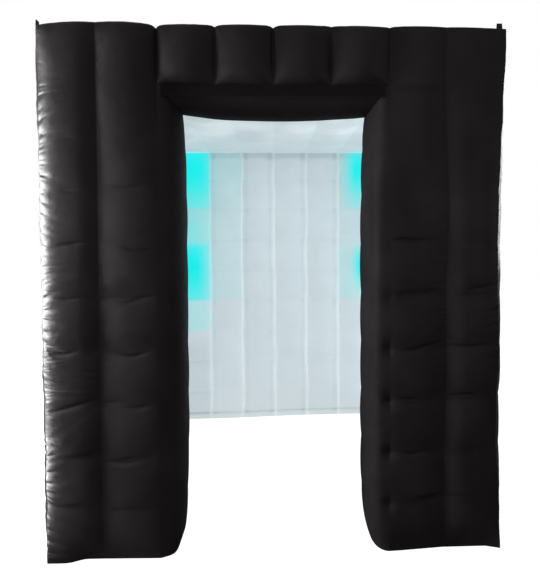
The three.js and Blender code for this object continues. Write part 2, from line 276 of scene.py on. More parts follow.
@dataclass(frozen=True)
class Crease:
    """A short crease that a row's seam pulls into a column: a soft trough, steep above and easy below."""

    share: float
    line: tuple[Pair, ...]
    depth: float = 0.006
    half_width: float = 0.0055
    taper: float = 0.04
    above: float = 0.9
    below: float = 2.2
    end_share: float = 0.2
    margin: float = 0.06

    def height(self, u: Array, v: Array) -> Array:
        """How far the crease moves the cloth.

        Args:
            u: Places across.
            v: Places along.

        Returns:
            Heights out of the cloth, below zero in the trough.
        """
        away = np.full(u.shape, np.inf)
        side = np.zeros_like(u)
        for (u0, v0), (u1, v1) in zip(self.line, self.line[1:]):
            length = math.hypot(u1 - u0, v1 - v0)
            way_u, way_v = (u1 - u0) / length, (v1 - v0) / length
            run = np.clip((u - u0) * way_u + (v - v0) * way_v, 0.0, length)
            off_u, off_v = u - u0 - way_u * run, v - v0 - way_v * run
            distance = np.hypot(off_u, off_v)
            side = np.where(distance < away, np.sign(off_v) * distance, side)
            away = np.minimum(away, distance)
        ends = np.minimum(*(np.hypot(u - a, v - b) for a, b in (self.line[0], self.line[-1])))
        width = self.half_width * np.where(side > 0.0, self.above, self.below)
        fade = self.end_share + (1.0 - self.end_share) * np.clip(ends / self.taper, 0.0, 1.0)
        return -self.share * self.depth * fade * np.exp(-((side / width) ** 2))


@dataclass(frozen=True)
class Sight:
    """How the photograph was taken: where from, which way, and what its pixels fall on."""

    eye: Triple = (0.001, -3.347, 1.446)
    pan: float = -2.0
    tilt: float = 2.07
    roll: float = -0.24
    focal: float = 502.7
    centre: Pair = (292.4, 258.7)
    picture: tuple[int, int] = (540, 573)
    front: float = -1.085

    def axes(self) -> tuple[Vector, Vector, Vector]:
        """The ways across the picture, up it and into it."""
        pan, tilt, roll = (math.radians(a) for a in (self.pan, self.tilt, self.roll))
        right = Vector((math.cos(pan), math.sin(pan), 0.0))
        level = Vector((-math.sin(pan), math.cos(pan), 0.0))
        ahead = level * math.cos(tilt) - Vector((0.0, 0.0, 1.0)) * math.sin(tilt)
        above = right.cross(ahead)
        turned = right * math.cos(roll) + above * math.sin(roll)
        return turned, turned.cross(ahead), ahead

    def on_front(self, pixel: Pair, start: float) -> Pair:
        """Finds what a pixel shows on the front of the booth.

        Args:
            pixel: Its column and row in the picture.
            start: Where the front panel's left edge stands.

        Returns:
            The place across and along that panel, to the millimetre.
        """
        across, upward, ahead = self.axes()
        right, down = ((p - c) / self.focal for p, c in zip(pixel, self.centre))
        ray = ahead + across * right - upward * down
        seen = Vector(self.eye) + ray * ((self.front - self.eye[1]) / ray.y)
        return round(seen.x - start, 3), round(seen.z, 3)


@dataclass(frozen=True)
class SeenCrease:
    """A crease of a front panel as it was picked in the photograph, pixel by pixel."""

    share: float
    pixels: tuple[Pair, ...]
    half_width: float = Crease.half_width

    def on_panel(self, sight: Sight, start: float) -> Crease:
        """The same crease on the cloth.

        Args:
            sight: How the photograph was taken.
            start: Where the panel's left edge stands.

        Returns:
            The crease, in metres.
        """
        line = tuple(sight.on_front(pixel, start) for pixel in self.pixels)
        return Crease(self.share, line, half_width=self.half_width)


@dataclass(frozen=True)
class Place:
    """Where a piece of cloth stands: the corner it starts from, and the ways it runs across and along."""

    corner: Triple
    across: Triple
    along: Triple

    @property
    def out(self) -> Array:
        """The way its visible face looks."""
        return np.cross(self.across, self.along)

    def world(self, u: Array, v: Array, h: Array) -> Array:
        """Puts points of the cloth in the booth.

        Args:
            u: Places across.
            v: Places along.
            h: Heights out of the visible face.

        Returns:
            Points in the row frame.
        """
        axes = np.stack([np.array(self.across), np.array(self.along), self.out])
        return np.array(self.corner) + np.stack([u, v, h], axis=-1) @ axes


@dataclass
class ClothGrid:
    """A sheet of cloth as a grid of points, ready to be made into a piece."""

    name: str
    points: Array
    cut: Array
    marks: dict[str, Array] = field(default_factory=dict)

    def mesh(self) -> bpy.types.Mesh:
        """Makes the grid's mesh, with the place of each point in the cut cloth as its UV map.

        Returns:
            The mesh, smooth shaded.
        """
        across, along = self.points.shape[:2]
        index = np.arange(across * along).reshape(across, along)
        corners = [index[:-1, :-1], index[1:, :-1], index[1:, 1:], index[:-1, 1:]]
        faces = np.stack(corners, axis=-1).reshape(-1, 4)
        mesh = bpy.data.meshes.new(self.name)
        mesh.vertices.add(across * along)
        mesh.vertices.foreach_set("co", self.points.reshape(-1).astype(np.float32))
        mesh.loops.add(faces.size)
        mesh.loops.foreach_set("vertex_index", faces.reshape(-1).astype(np.int32))
        mesh.polygons.add(len(faces))
        mesh.polygons.foreach_set("loop_start", np.arange(0, faces.size, 4, dtype=np.int32))
        mesh.update(calc_edges=True)
        uv = mesh.uv_layers.new(name="cut")
        uv.data.foreach_set("uv", self.cut.reshape(-1, 2)[faces.reshape(-1)].reshape(-1).astype(np.float32))
        for mark, values in self.marks.items():
            layer = mesh.attributes.new(mark, "FLOAT", "POINT")
            layer.data.foreach_set("value", values.reshape(-1).astype(np.float32))
        mesh.shade_smooth()
        ends = np.empty(2 * len(mesh.edges), np.int32)
        mesh.edges.foreach_get("vertices", ends)
        i, j = np.divmod(ends.reshape(-1, 2), along)
        lines = ((i, 0), (i, across - 1), (j, 0), (j, along - 1))
        rim = [(axis == line).all(axis=1) for axis, line in lines]
        sharp = mesh.attributes.new("sharp_edge", "BOOLEAN", "EDGE")
        sharp.data.foreach_set("value", np.any(rim, axis=0))
        mesh.validate()
        return mesh

    def piece(self, finish: Material, slot: Slot, node: str, thickness: float) -> Piece:
        """Makes the sheet a piece that stands for a CAD node.

        Args:
            finish: Its material.
            slot: The record's slot for it; not used.
            node: The node it replaces.
            thickness: Thickness of the cloth, added behind the visible face.

        Returns:
            The piece, riding on the booth.
        """
        piece = bpy.data.objects.new(self.name, self.mesh())
        bpy.context.scene.collection.objects.link(piece)
        piece.data.materials.append(finish)
        if thickness > 0.0:
            layers = piece.modifiers.new("cloth_thickness", "SOLIDIFY")
            layers.thickness = thickness
            layers.offset = -1.0
        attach(piece, BODY)
        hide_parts(node)
        LOG.info("%s: %d points", self.name, self.points.shape[0] * self.points.shape[1])
        return piece


class Bench:
    """Sets out and wires the nodes of one finish."""

    def __init__(self, name: str) -> None:
        """Starts a material.

        Args:
            name: Name of the material.
        """
        self.material = bpy.data.materials.new(name)
        self.material.use_nodes = True
        self.tree = self.material.node_tree
        self.shader = self.tree.nodes["Principled BSDF"]

    def feed(self, node: bpy.types.Node, inputs: dict) -> None:
        """Sets or links a node's inputs.

        Args:
            node: The node.
            inputs: Socket name or number to a value or to another node's output.
        """
        for key, value in inputs.items():
            socket = node.inputs[key]
            if isinstance(value, Socket):
                self.tree.links.new(value, socket)
            else:
                socket.default_value = value

    def add(self, kind: str, inputs: dict | None = None, **settings: object) -> bpy.types.Node:
        """Adds a node.

        Args:
            kind: Its type.
            inputs: Its inputs, as for feed.
            settings: Its properties.

        Returns:
            The node.
        """
        node = self.tree.nodes.new(kind)
        for key, value in settings.items():
            setattr(node, key, value)
        self.feed(node, inputs or {})
        return node

    def math(self, operation: str, *values: object) -> Socket:
        """Adds a Math node and gives its output."""
        return self.add("ShaderNodeMath", dict(enumerate(values)), operation=operation).outputs[0]

    def ramp(self, value: Socket, low: float, high: float, to: Pair) -> Socket:
        """Maps a value smoothly from one range to another.

        Args:
            value: The value.
            low: Start of its range.
            high: End of its range.
            to: What the two ends become.

        Returns:
            The mapped value.
        """
        inputs = {0: value, 1: low, 2: high, 3: to[0], 4: to[1]}
        return self.add("ShaderNodeMapRange", inputs, interpolation_type="SMOOTHSTEP").outputs[0]

    def blend(self, share: Socket, first: object, second: object) -> Socket:
        """Mixes two colours.

        Args:
            share: Share of the second.
            first: A colour or a colour output.
            second: Another.

        Returns:
            The mixed colour.
        """
        mix = self.add("ShaderNodeMix", data_type="RGBA")
        rows = {0: share, 6: first, 7: second}
        self.feed(mix, {k: (*v, 1.0) if isinstance(v, tuple) else v for k, v in rows.items()})
        return mix.outputs[2]

    def scaled(self, colour: Socket, share: Socket) -> Socket:
        """A colour made lighter or darker."""
        return self.add("ShaderNodeVectorMath", {0: colour, "Scale": share}, operation="SCALE").outputs[0]

    def cut(self) -> Socket:
        """Where a point lies in the cut cloth, in metres."""
        return self.add("ShaderNodeUVMap", uv_map="cut").outputs[0]

    def mark(self, name: str) -> Socket:
        """A value that the mesh carries at its points."""
        return self.add("ShaderNodeAttribute", attribute_name=name).outputs["Fac"]

    def noise(self, place: Socket, scale: float, detail: float) -> Socket:
        """Noise over the cut cloth, with that many waves to the metre."""
        return self.add("ShaderNodeTexNoise", {"Vector": place, "Scale": scale, "Detail": detail}).outputs[0]

    def weave(self, place: Socket, thread: float) -> Socket:
        """A plain weave.

        Args:
            place: Where a point lies in the cloth.
            thread: Pitch of its threads.

        Returns:
            Height of the threads, from 0 to 1.
        """
        split = self.add("ShaderNodeSeparateXYZ", {0: place})
        turns = [self.math("MULTIPLY", split.outputs[i], math.pi / thread) for i in (0, 1)]
        waves = [self.math("SINE", turn) for turn in turns]
        return self.math("ABSOLUTE", self.math("MULTIPLY", *waves))

    def bump(self, height: Socket, strength: float, distance: float, under: object = None) -> Socket:
        """Adds a bump.

        Args:
            height: Its height.
            strength: How strongly it shows.
            distance: Its depth in metres.
            under: The normal of another bump beneath it.

        Returns:
            The bumped normal.
        """
        inputs = {"Height": height, "Strength": strength, "Distance": distance}
        if under is not None:
            inputs["Normal"] = under
        return self.add("ShaderNodeBump", inputs).outputs[0]


@dataclass(frozen=True)
class BlackCloth:
    """The outer skin: woven polyester with a coating, black, with a dull gloss that its creases catch,
    painted shade in its creases and dimples, and a lighter tone towards its crests that is partly wear and
    partly painted light.
    """

    name: str = "black_coated_cloth"
    colour: Triple = (0.0105, 0.0085, 0.0090)
    # Lighter tone towards the crests: partly wear, partly painted light.
    rubbed_and_lit: Triple = (0.0165, 0.0142, 0.0148)
    roughness: float = 0.36
    # Painted shade: the colour painted into creases and dimples.
    folded: Triple = (0.002, 0.0016, 0.0018)
    dullness: float = 0.55
    specular: float = 0.09
    thread: float = 0.0011
    crumple: float = 26.0
    cloud: float = 3.5
    crest_rub_and_light: float = 0.25
    gloss_range: Pair = (-0.05, 0.07)

    def material(self) -> Material:
        """Builds the material."""
        bench = Bench(self.name)
        place = bench.cut()
        cloud = bench.noise(place, self.cloud, 4.0)
        crumple = bench.noise(place, self.crumple, 5.0)
        # Lighter towards each column's crest and darker towards its seams, partly as wear on the crests and
        # partly as painted shade in the seam valleys; the cloud noise adds tone that differs at random.
        worn_and_lit = bench.math("ADD", cloud, bench.math("MULTIPLY", bench.mark("crest"), self.crest_rub_and_light))
        share = bench.ramp(worn_and_lit, 0.4, 0.95, (0.0, 1.0))
        fine = bench.bump(bench.weave(place, self.thread), 0.18, 0.0004)
        # Painted shade: creases and dimples are painted darker, and made rougher.
        crease_shade = bench.mark("crease_shade")
        dull = bench.math("MAXIMUM", crease_shade, bench.mark("dull"))
        low, high = (self.roughness + change for change in self.gloss_range)
        gloss = bench.ramp(crumple, 0.3, 0.75, (low, high))
        bench.feed(bench.shader, {
            "Base Color": bench.blend(crease_shade, bench.blend(share, self.colour, self.rubbed_and_lit), self.folded),
            "Roughness": bench.math("ADD", gloss, bench.math("MULTIPLY", dull, self.dullness)),
            "Specular IOR Level": self.specular,
            "Normal": bench.bump(crumple, 0.22, 0.006, fine),
        })
        return bench.material


@dataclass(frozen=True)
class WhiteLining:
    """The room's skin: thin white cloth with light behind it, paler where a seam doubles it, with painted
    shade and painted light in its colour.
    """

    name: str = "white_lining_cloth"
    colour: Triple = (0.64, 0.68, 0.70)
    # The paler colour where seams and hem lie double, also used for the painted light on the ceiling.
    doubled_and_lit: Triple = (0.9, 0.89, 0.89)
    shaded: Triple = (0.42, 0.48, 0.51)
    through: Triple = (0.265, 0.295, 0.305)
    glow: Triple = (0.0, 0.74, 0.73)
    # Painted light: the cloth's colour where the lamps' cyan glow shows.
    glow_lit_colour: Triple = (0.02, 0.2, 0.2)
    thread: float = 0.0011
    cloud: float = 5.0
    wrinkle: float = 22.0
    cloudiness: float = 0.25
    paler_light: float = 0.1
    shaded_light: float = 0.3

    def material(self) -> Material:
        """Builds the material."""
        bench = Bench(self.name)
        place = bench.cut()
        # Painted shade and painted light: this mark darkens and pales both the cloth's colour and its glow.
        folds_and_shade = bench.mark("folds_and_shade")
        paler = bench.ramp(folds_and_shade, 0.0, 1.0, (0.0, 1.0))
        darker = bench.ramp(folds_and_shade, -1.0, 0.0, (1.0, 0.0))
        cloud = bench.noise(place, self.cloud, 4.0)
        cloth = bench.blend(bench.ramp(cloud, 0.3, 0.8, (0.0, self.cloudiness)), self.colour, self.shaded)
        cloth = bench.blend(darker, cloth, self.shaded)
        # Paler where the cloth lies double, and painted light where the panel is made paler.
        cloth = bench.blend(paler, cloth, self.doubled_and_lit)
        light = bench.blend(bench.math("MULTIPLY", paler, self.paler_light), self.through, self.doubled_and_lit)
        light = bench.blend(bench.math("MULTIPLY", darker, self.shaded_light), light, (0.0, 0.0, 0.0))
        light = bench.blend(bench.mark("glow"), light, self.glow)
        # Painted light: the lamps' glow also turns the cloth's own colour cyan.
        cloth = bench.blend(bench.mark("glow"), cloth, self.glow_lit_colour)
        fine = bench.bump(bench.weave(place, self.thread), 0.12, 0.0004)
        bench.feed(bench.shader, {
            "Base Color": cloth,
            "Roughness": bench.ramp(cloud, 0.3, 0.8, (0.6, 0.75)),
            "Specular IOR Level": 0.25,
            "Emission Color": bench.scaled(light, bench.mark("lit")),
            "Emission Strength": 1.0,
            "Normal": bench.bump(bench.noise(place, self.wrinkle, 4.0), 0.12, 0.006, fine),
        })
        return bench.material


@dataclass(frozen=True)
class LoopPile:
    """Loop tape: a dense dull pile between two woven selvedges."""

    name: str = "loop_tape"
    colour: Triple = (0.0035, 0.0028, 0.0036)
    selvedge: Triple = (0.008, 0.0068, 0.008)
    height: float = 0.052
    selvedge_width: Pair = (0.002, 0.004)
    pile: float = 700.0

    def material(self) -> Material:
        """Builds the material."""
        bench = Bench(self.name)
        place = bench.cut()
        along = bench.add("ShaderNodeSeparateXYZ", {0: place}).outputs[1]
        to_edge = bench.math("PINGPONG", along, self.height / 2.0)
        selvedge = bench.ramp(to_edge, *self.selvedge_width, (1.0, 0.0))
        pile = bench.noise(place, self.pile, 2.0)
        bench.feed(bench.shader, {
            "Base Color": bench.blend(selvedge, self.colour, self.selvedge),
            "Roughness": bench.ramp(pile, 0.3, 0.7, (0.85, 1.0)),
            "Specular IOR Level": 0.12,
            "Sheen Weight": 0.05,
            "Normal": bench.bump(pile, 0.6, 0.0012),
        })
        return bench.material


@dataclass(frozen=True)
class Webbing:
    """Narrow woven webbing, ribbed across."""

    name: str = "black_webbing"
    colour: Triple = (0.006, 0.0055, 0.006)
    ridge: Triple = (0.014, 0.013, 0.014)
    rib: float = 0.0016

    def material(self) -> Material:
        """Builds the material."""
        bench = Bench(self.name)
        ribs = bench.weave(bench.cut(), self.rib)
        bench.feed(bench.shader, {
            "Base Color": bench.blend(ribs, self.colour, self.ridge),
            "Roughness": bench.ramp(ribs, 0.0, 1.0, (0.7, 0.85)),
            "Specular IOR Level": 0.3,
            "Normal": bench.bump(ribs, 0.5, 0.0006),
        })
        return bench.material


@dataclass(frozen=True)
class Edge:
    """One edge of a panel: what it is sewn to, which seam of the booth that is, and how that seam runs."""

    kind: EdgeKind
    seam: int
    bow: float = 0.0
    pull: float = 1.0
    calm: Pair = (8.0, 9.0)
    notches: tuple[float, ...] = ()
    swells: tuple[Triple, ...] = ()
    fill: float = 0.0
    pitch: float = PLAN.column
    drawn: Triple = (0.0, 0.0, 0.0)
    spread: float = 1.0
    slack: float = 0.75
    foot_ease: Pair = (0.05, 0.25)
    head_ease: float = 0.2
    ridge: float = 0.0022
    ridge_pitch: float = 0.052
    bow_power: float = 0.8
    notch_reach: float = 0.012
    swell_power: float = 0.7

    @property
    def gather(self) -> float:
        """Height of the gathers beside it."""
        height, _ = self.kind.value
        return self.pull * height

    @property
    def closing(self) -> float:
        """Length over which a column that ends at it comes up to its full crown."""
        _, length = self.kind.value
        return length

    def strength(self, place: Array) -> Array:
        """How strong its gathers are along it: full where it is taut, a quarter where it is calm."""
        return 1.0 - self.slack * smooth_rise(*self.calm, place)

    def drawn_to(self, place: Array) -> Array:
        """Where the air in the wall draws it to along its length, less by its ends."""
        head = 1.0 - smooth_rise(PLAN.height - self.head_ease, PLAN.height, place)
        share = smooth_rise(*self.foot_ease, place) * head
        return share[..., None] * np.array(self.drawn)

    def lift(self, place: Array, start: float) -> Array:
        """How far the seam itself stands out along its length.

        Args:
            place: Places along it, in the row frame.
            start: Where its first cell begins.

        Returns:
            Distances out, the same in both of the faces that meet there.
        """
        ridges = Gather(1.0, self.seam).pleats(place, self.ridge_pitch, self.seam + 1)
        total = self.bow * np.abs(np.sin(math.pi * (place - start) / self.pitch)) ** self.bow_power
        total += self.ridge * self.pull * self.strength(place) * ridges
        for k, depth in enumerate(self.notches):
            total -= depth * np.exp(-np.abs(place - start - k * self.pitch) / self.notch_reach)
        for low, high, height in self.swells:
            way = np.clip((place - low) / (high - low), 0.0, 1.0)
            total += height * np.sin(math.pi * way) ** self.swell_power
        return total


@dataclass(frozen=True)
class PanelEdges:
    """The four edges of a panel."""

    left: Edge
    right: Edge
    bottom: Edge
    top: Edge


@dataclass(frozen=True)
class RunOn:
    """A column that runs on into a door roll instead of dipping to a seam."""

    column: int
    on_right: bool
    crest: float
    power: float = 2.0
    row_hold: float = 0.4
    low: float = 1.78
    high: float = 2.12

    def share(self, v: Array) -> Array:
        """How much of the run-on is left at a height."""
        return 1.0 - smooth_rise(self.low, self.high, v)

    def arc(self, s: Array) -> Array:
        """Its section: from nothing at the column's seam, over the crest, on to the roll."""
        away = s if self.on_right else 1.0 - s
        return 1.0 - np.abs(1.0 - away / self.crest) ** self.power

    @property
    def fall(self) -> float:
        """How steeply the section falls where it meets the roll."""
        return self.power * (1.0 / self.crest - 1.0) ** (self.power - 1.0) / self.crest


@dataclass(frozen=True)
class QuiltedPanel:
    """A cloth panel quilted into columns, blown out between its seams and drawn in at each row."""

    node: str
    place: Place
    columns: int
    rows: int
    row: float
    crown: float
    edges: PanelEdges
    fullness: tuple[float, ...]
    dips: tuple[float, ...]
    seed: int
    creases: tuple[Crease, ...] = ()
    row_shift: float = 0.0
    grain: Grain = Grain.PLAIN
    seam_gather: float = 0.0045
    row_soft: float = 0.012
    flat_top: Triple = (8.0, 9.0, 0.0)
    roundness: float = 0.85
    crests: tuple[float, ...] = ()
    seam_levels: tuple[float, ...] = ()
    flank: float = 2.0
    corner_round: float = 0.0
    column: float = PLAN.column
    run_on: RunOn | None = None
    pinches: tuple[Triple, ...] = ()
    toe: Pair = (0.0, 0.0)
    slow_ends: float = 0.0
    stand: tuple[Pair, ...] = ()
    stand_ease: float = 0.06
    rests_on: tuple[str, ...] = ()
    end_lines: tuple[float, ...] = (0.0, 0.003, 0.008, 0.015)
    end_margin: float = 0.024
    row_wander: Pair = (0.007, 0.22)
    row_strengths: Pair = (0.7, 1.3)
    row_reach: Pair = (0.42, 0.7)
    row_power: float = 2.4
    sway: Pair = (0.06, 0.5)
    round_reach: float = 0.12
    hold_power: float = 0.8
    hold_reach: float = 0.08
    bow_reach: float = 0.07
    bow_power: float = 1.5
    drawn_reach: float = 0.05
    stitch: float = 0.004
    seam_wander: Pair = (0.004, 0.7)
    toe_ease: Pair = (0.08, 0.2)
    toe_height: float = 0.1
    hem_turn: Pair = (0.006, 0.03)
    mean_fullness: float = 0.95
    end_cloth: float = 1.2

    @property
    def size(self) -> Pair:
        """Width and length between its seams."""
        return self.columns * self.column, self.rows * self.row

    def lines(self) -> tuple[Array, Array]:
        """Where the grid's lines run: closer by each column's seam.

        Returns:
            Places across and places along.
        """
        offsets, step = self.grain.value
        offsets = np.array(offsets)
        half = np.concatenate([offsets, [self.column / 2.0]])
        one = np.concatenate([half, (self.column - offsets[1:])[::-1]])
        across = np.concatenate([one + i * self.column for i in range(self.columns)] + [[self.size[0]]])
        length = self.size[1]
        ends = np.array(self.end_lines)
        inner = np.linspace(self.end_margin, length - self.end_margin, round(length / step))
        return across, np.concatenate([ends, inner, (length - ends)[::-1]])

    def end_fill(self, v: Array) -> Array:
        """How full the columns are along their length.

        Args:
            v: Places along.

        Returns:
            Shares of the crown.
        """
        total = np.ones_like(v)
        for edge, distance in ((self.edges.bottom, v), (self.edges.top, self.size[1] - v)):
            rest = 1.0 - np.clip(distance / edge.closing, 0.0, 1.0)
            full = np.sqrt(np.clip(1.0 - rest**2.2, 0.0, 1.0))
            if self.slow_ends:
                full = smooth_rise(0.0, self.slow_ends, distance)
            total *= edge.fill + (1.0 - edge.fill) * full
        return total * (1.0 - self.flat_top[2] * smooth_rise(self.flat_top[0], self.flat_top[1], v))

    def standing(self, height: Array, u: Array, v: Array) -> Array:
        """Brings the foot of the panel out to the line on which it stands.

        Args:
            height: Heights out of the panel.
            u: Places across.
            v: Places along.

        Returns:
            The heights, changed near the floor.
        """
        if not self.stand:
            return height
        places, lines = zip(*self.stand)
        near = np.exp(-((v / self.stand_ease) ** 1.5))
        return height + near * (np.interp(u / self.size[0], places, lines) - height)

    def seam_lift(self, v: Array) -> Array:
        """How far the seam of its run-on stands out, for the roll that is sewn to it."""
        run = self.run_on
        end = 1.0 if run.on_right else 0.0
        u = np.full_like(v, end * self.size[0])
        crown = self.fullness[run.column] * self.crown
        lift = crown * float(run.arc(np.array(end))) * run.share(v) * self.end_fill(v)
        return self.standing(lift, u, v) - run.row_hold * run.share(v) * self.drawn_in(u, v)

    def seam_fall(self, v: Array) -> Array:
        """How steeply its run-on falls to that seam, for the roll to go on in the same slope."""
        run = self.run_on
        return run.fall * run.share(v) * self.fullness[run.column] * self.crown / self.column

    def drawn_in(self, u: Array, v: Array) -> Array:
        """How far the row seams draw the cloth in.

        Args:
            u: Places across.
            v: Places along.

        Returns:
            Depths in the middle of a column.
        """
        column = np.clip((u / self.column).astype(int), 0, self.columns - 1)
        rng = np.random.default_rng(self.seed)
        size, wave = self.row_wander
        wander = size * Ripple(self.seed + 5, wave).at(u, 0.3 * v)
        above, below = self.row_reach
        total = np.zeros_like(u)
        for j in range(1, self.rows):
            strength = rng.uniform(*self.row_strengths, self.columns)[column]
            away = v + wander - j * self.row - self.row_shift
            far = np.hypot(away, self.row_soft) - self.row_soft
            share = far / (np.where(away > 0.0, above, below) * self.row)
            total += strength * self.dips[j - 1] * np.clip(1.0 - share, 0.0, 1.0) ** self.row_power
        return total

    def puff(self, u: Array, v: Array) -> Array:
        """The blown-out form without its gathers.

        Args:
            u: Places across.
            v: Places along.

        Returns:
            Heights out of the panel.
        """
        column = np.clip((u / self.column).astype(int), 0, self.columns - 1)
        s = np.clip(u / self.column - column, 0.0, 1.0)
        crest = np.array(self.crests or (0.5,) * self.columns)[column]
        away = np.where(s < crest, (crest - s) / crest, (s - crest) / (1.0 - crest))
        power = np.full_like(u, self.roundness)
        for edge, distance in ((self.edges.left, u), (self.edges.right, self.size[0] - u)):
            if edge.kind is EdgeKind.OUTSIDE_CORNER:
                power -= self.corner_round * np.exp(-((distance / self.round_reach) ** 2))
        arc = np.clip(1.0 - away**self.flank, 0.0, 1.0) ** power
        levels = np.array(self.seam_levels or (0.0,) * (self.columns + 1))
        low = levels[column] + (levels[column + 1] - levels[column]) * s
        size, wave = self.sway
        sway = size * Ripple(self.seed + 3, wave).at(u, v) * arc
        shape = arc
        if self.run_on:
            mine = (column == self.run_on.column) * self.run_on.share(v)
            shape = arc + mine * (self.run_on.arc(s) - arc)
        height = low + (np.array(self.fullness)[column] * self.crown * (1.0 + sway) - low) * shape
        height *= self.end_fill(v)
        height = self.standing(height, u, v)
        hold = arc**self.hold_power
        for edge, distance in ((self.edges.left, u), (self.edges.right, self.size[0] - u)):
            if edge.kind is EdgeKind.OUTSIDE_CORNER:
                hold = hold * (1.0 - np.exp(-((distance / self.hold_reach) ** 2)))
        if self.run_on:
            open_side = s if self.run_on.on_right else 1.0 - s
            hold = np.maximum(hold, self.run_on.row_hold * mine * smooth_rise(0.3, 0.9, open_side))
        height -= hold * self.drawn_in(u, v)
        return height + self.creased(u, v)

    def creased(self, u: Array, v: Array) -> Array:
        """The creases that its rows pull into it.

        Args:
            u: Places across.
            v: Places along.

        Returns:
            Heights to add to the panel.
        """
        total = np.zeros_like(u)
        for crease in self.creases:
            ends = np.array(crease.line)
            low, high = ends.min(axis=0) - crease.margin, ends.max(axis=0) + crease.margin
            near = (u > low[0]) & (u < high[0]) & (v > low[1]) & (v < high[1])
            total[near] += crease.height(u[near], v[near])
        return total

    def gathers(self, u: Array, v: Array, flat: Array) -> Array:
        """The gathers beside its seams and edges.

        Args:
            u: Places across.
            v: Places along.
            flat: The panel's points before it was blown out, in the row frame.

        Returns:
            Heights to add to the panel.
        """
        width, length = self.size
        by_v = flat @ np.abs(np.array(self.place.along))
        by_u = flat @ np.abs(np.array(self.place.across))
        total = np.zeros_like(u)
        for k in range(self.columns + 1):
            edge = {0: self.edges.left, self.columns: self.edges.right}.get(k)
            gather = Gather(self.seam_gather, self.seed + 31 * k)
            if edge:
                gather = Gather(edge.gather, edge.seam, spread=edge.spread)
            distance = np.abs(u - k * self.column)
            near = distance <= self.column
            taut = edge.strength(by_v[near]) if edge else 1.0
            total[near] += taut * gather.height(by_v[near], distance[near])
        for edge, distance in ((self.edges.bottom, v), (self.edges.top, length - v)):
            near = distance <= self.row
            total[near] += Gather(edge.gather, edge.seam).height(by_u[near], distance[near])
        to_edge = np.minimum(np.minimum(u, width - u), np.minimum(v, length - v))
        return total * (1.0 - np.exp(-to_edge / self.stitch))

    def bow(self, u: Array, v: Array, flat: Array) -> tuple[Array, Array, Array]:
        """How its outside corners stand out between the seams that hold them in.

        Args:
            u: Places across.
            v: Places along.
            flat: The panel's points before it was blown out, in the row frame.

        Returns:
            Shifts across, along and out.
        """
        width, length = self.size
        axes = np.abs(np.array(self.place.across)), np.abs(np.array(self.place.along))
        start = np.array([-PLAN.half, -PLAN.half, 0.0])
        shift_u, shift_v, shift_h = np.zeros_like(u), np.zeros_like(u), np.zeros_like(u)
        sides = (
            (self.edges.left, u, -1.0, shift_u, axes[1]),
            (self.edges.right, width - u, 1.0, shift_u, axes[1]),
            (self.edges.bottom, v, -1.0, shift_v, axes[0]),
            (self.edges.top, length - v, 1.0, shift_v, axes[0]),
        )
        for edge, distance, way, shift, axis in sides:
            if edge.kind is EdgeKind.OUTSIDE_CORNER:
                lift = edge.lift(flat @ axis, float(start @ axis))
                lift *= np.exp(-((distance / self.bow_reach) ** self.bow_power))
                shift += way * lift
                shift_h += lift
                near = np.exp(-((distance / self.drawn_reach) ** self.bow_power))
                drawn = edge.drawn_to(flat @ axis) * near[..., None]
                shift_u += drawn @ np.array(self.place.across)
                shift_h += drawn @ self.place.out
        return shift_u, shift_v, shift_h

    def pinch(self, u: Array, v: Array) -> Array:
        """The star-shaped dimples where a row's seam pulls on a column's.

        Args:
            u: Places across.
            v: Places along.

        Returns:
            Heights to add to the panel.
        """
        total = np.zeros_like(u)
        for at_u, at_v, depth in self.pinches:
            total -= depth * dimple(u - at_u, v - at_v)
        return total

    def marks(self, u: Array, v: Array) -> dict[str, Array]:
        """What its finish is told of each place: how near a column's crest it is, and how deep it lies in a
        crease or dimple, which the black cloth darkens as painted shade.
        """
        crease_shade = np.clip(-self.creased(u, v) / DEEP_CREASE - self.pinch(u, v) / DEEP_DIMPLE, 0.0, 1.0)
        # The crest share makes the black cloth lighter towards each crest, partly as wear and partly as
        # painted light.
        return {"crest": 1.0 - np.abs(2.0 * np.mod(u / self.column, 1.0) - 1.0), "crease_shade": crease_shade}

    def grid(self) -> ClothGrid:
        """Shapes the panel, its hem turned under where it stands on the floor.

        Returns:
            The cloth, ready to be made into a piece.
        """
        across, along = self.lines()
        u, v = np.meshgrid(across, along, indexing="ij")
        flat = self.place.world(u, v, 0.0 * u)
        shift_u, shift_v, shift_h = self.bow(u, v, flat)
        size, wave = self.seam_wander
        wander = size * np.sin(math.pi * u / self.size[0]) * Ripple(self.seed + 9, wave).at(0.0 * u, v)
        height = self.puff(u, v) + self.gathers(u, v, flat) + self.pinch(u, v) + shift_h
        points = self.place.world(u + shift_u + wander, v + shift_v, height)
        corner = np.hypot(points[..., 0] + PLAN.half, points[..., 1] + PLAN.half)
        toe = 1.0 - smooth_rise(*self.toe_ease, corner)
        toe *= np.exp(-((points[..., 2] / self.toe_height) ** 2))
        points[..., 0] += self.toe[0] * toe
        points[..., 1] += self.toe[1] * toe
        points[..., 2] = np.maximum(points[..., 2], 0.0)
        marks = self.marks(u, v)
        cut = np.stack([u, v], axis=-1)
        if self.edges.bottom.kind is EdgeKind.FLOOR:
            inward, turned = self.hem_turn
            hem = self.place.world(u[:, :1], 0.0 * u[:, :1], 0.0 * u[:, :1] - inward)
            points = np.concatenate([hem, points], axis=1)
            cut = np.concatenate([cut[:, :1] - np.array([0.0, turned]), cut], axis=1)
            marks = {name: np.concatenate([mark[:, :1], mark], axis=1) for name, mark in marks.items()}
        return ClothGrid(f"{self.node}_cloth", points, cut, marks)

    def build(self, finish: Material, slot: Slot) -> Piece:
        """Args:
            finish: Its material.
            slot: The record's slot for it; not used.

        Returns:
            The piece.
        """
        piece = self.grid().piece(finish, slot, self.node, PLAN.cloth)
        return piece


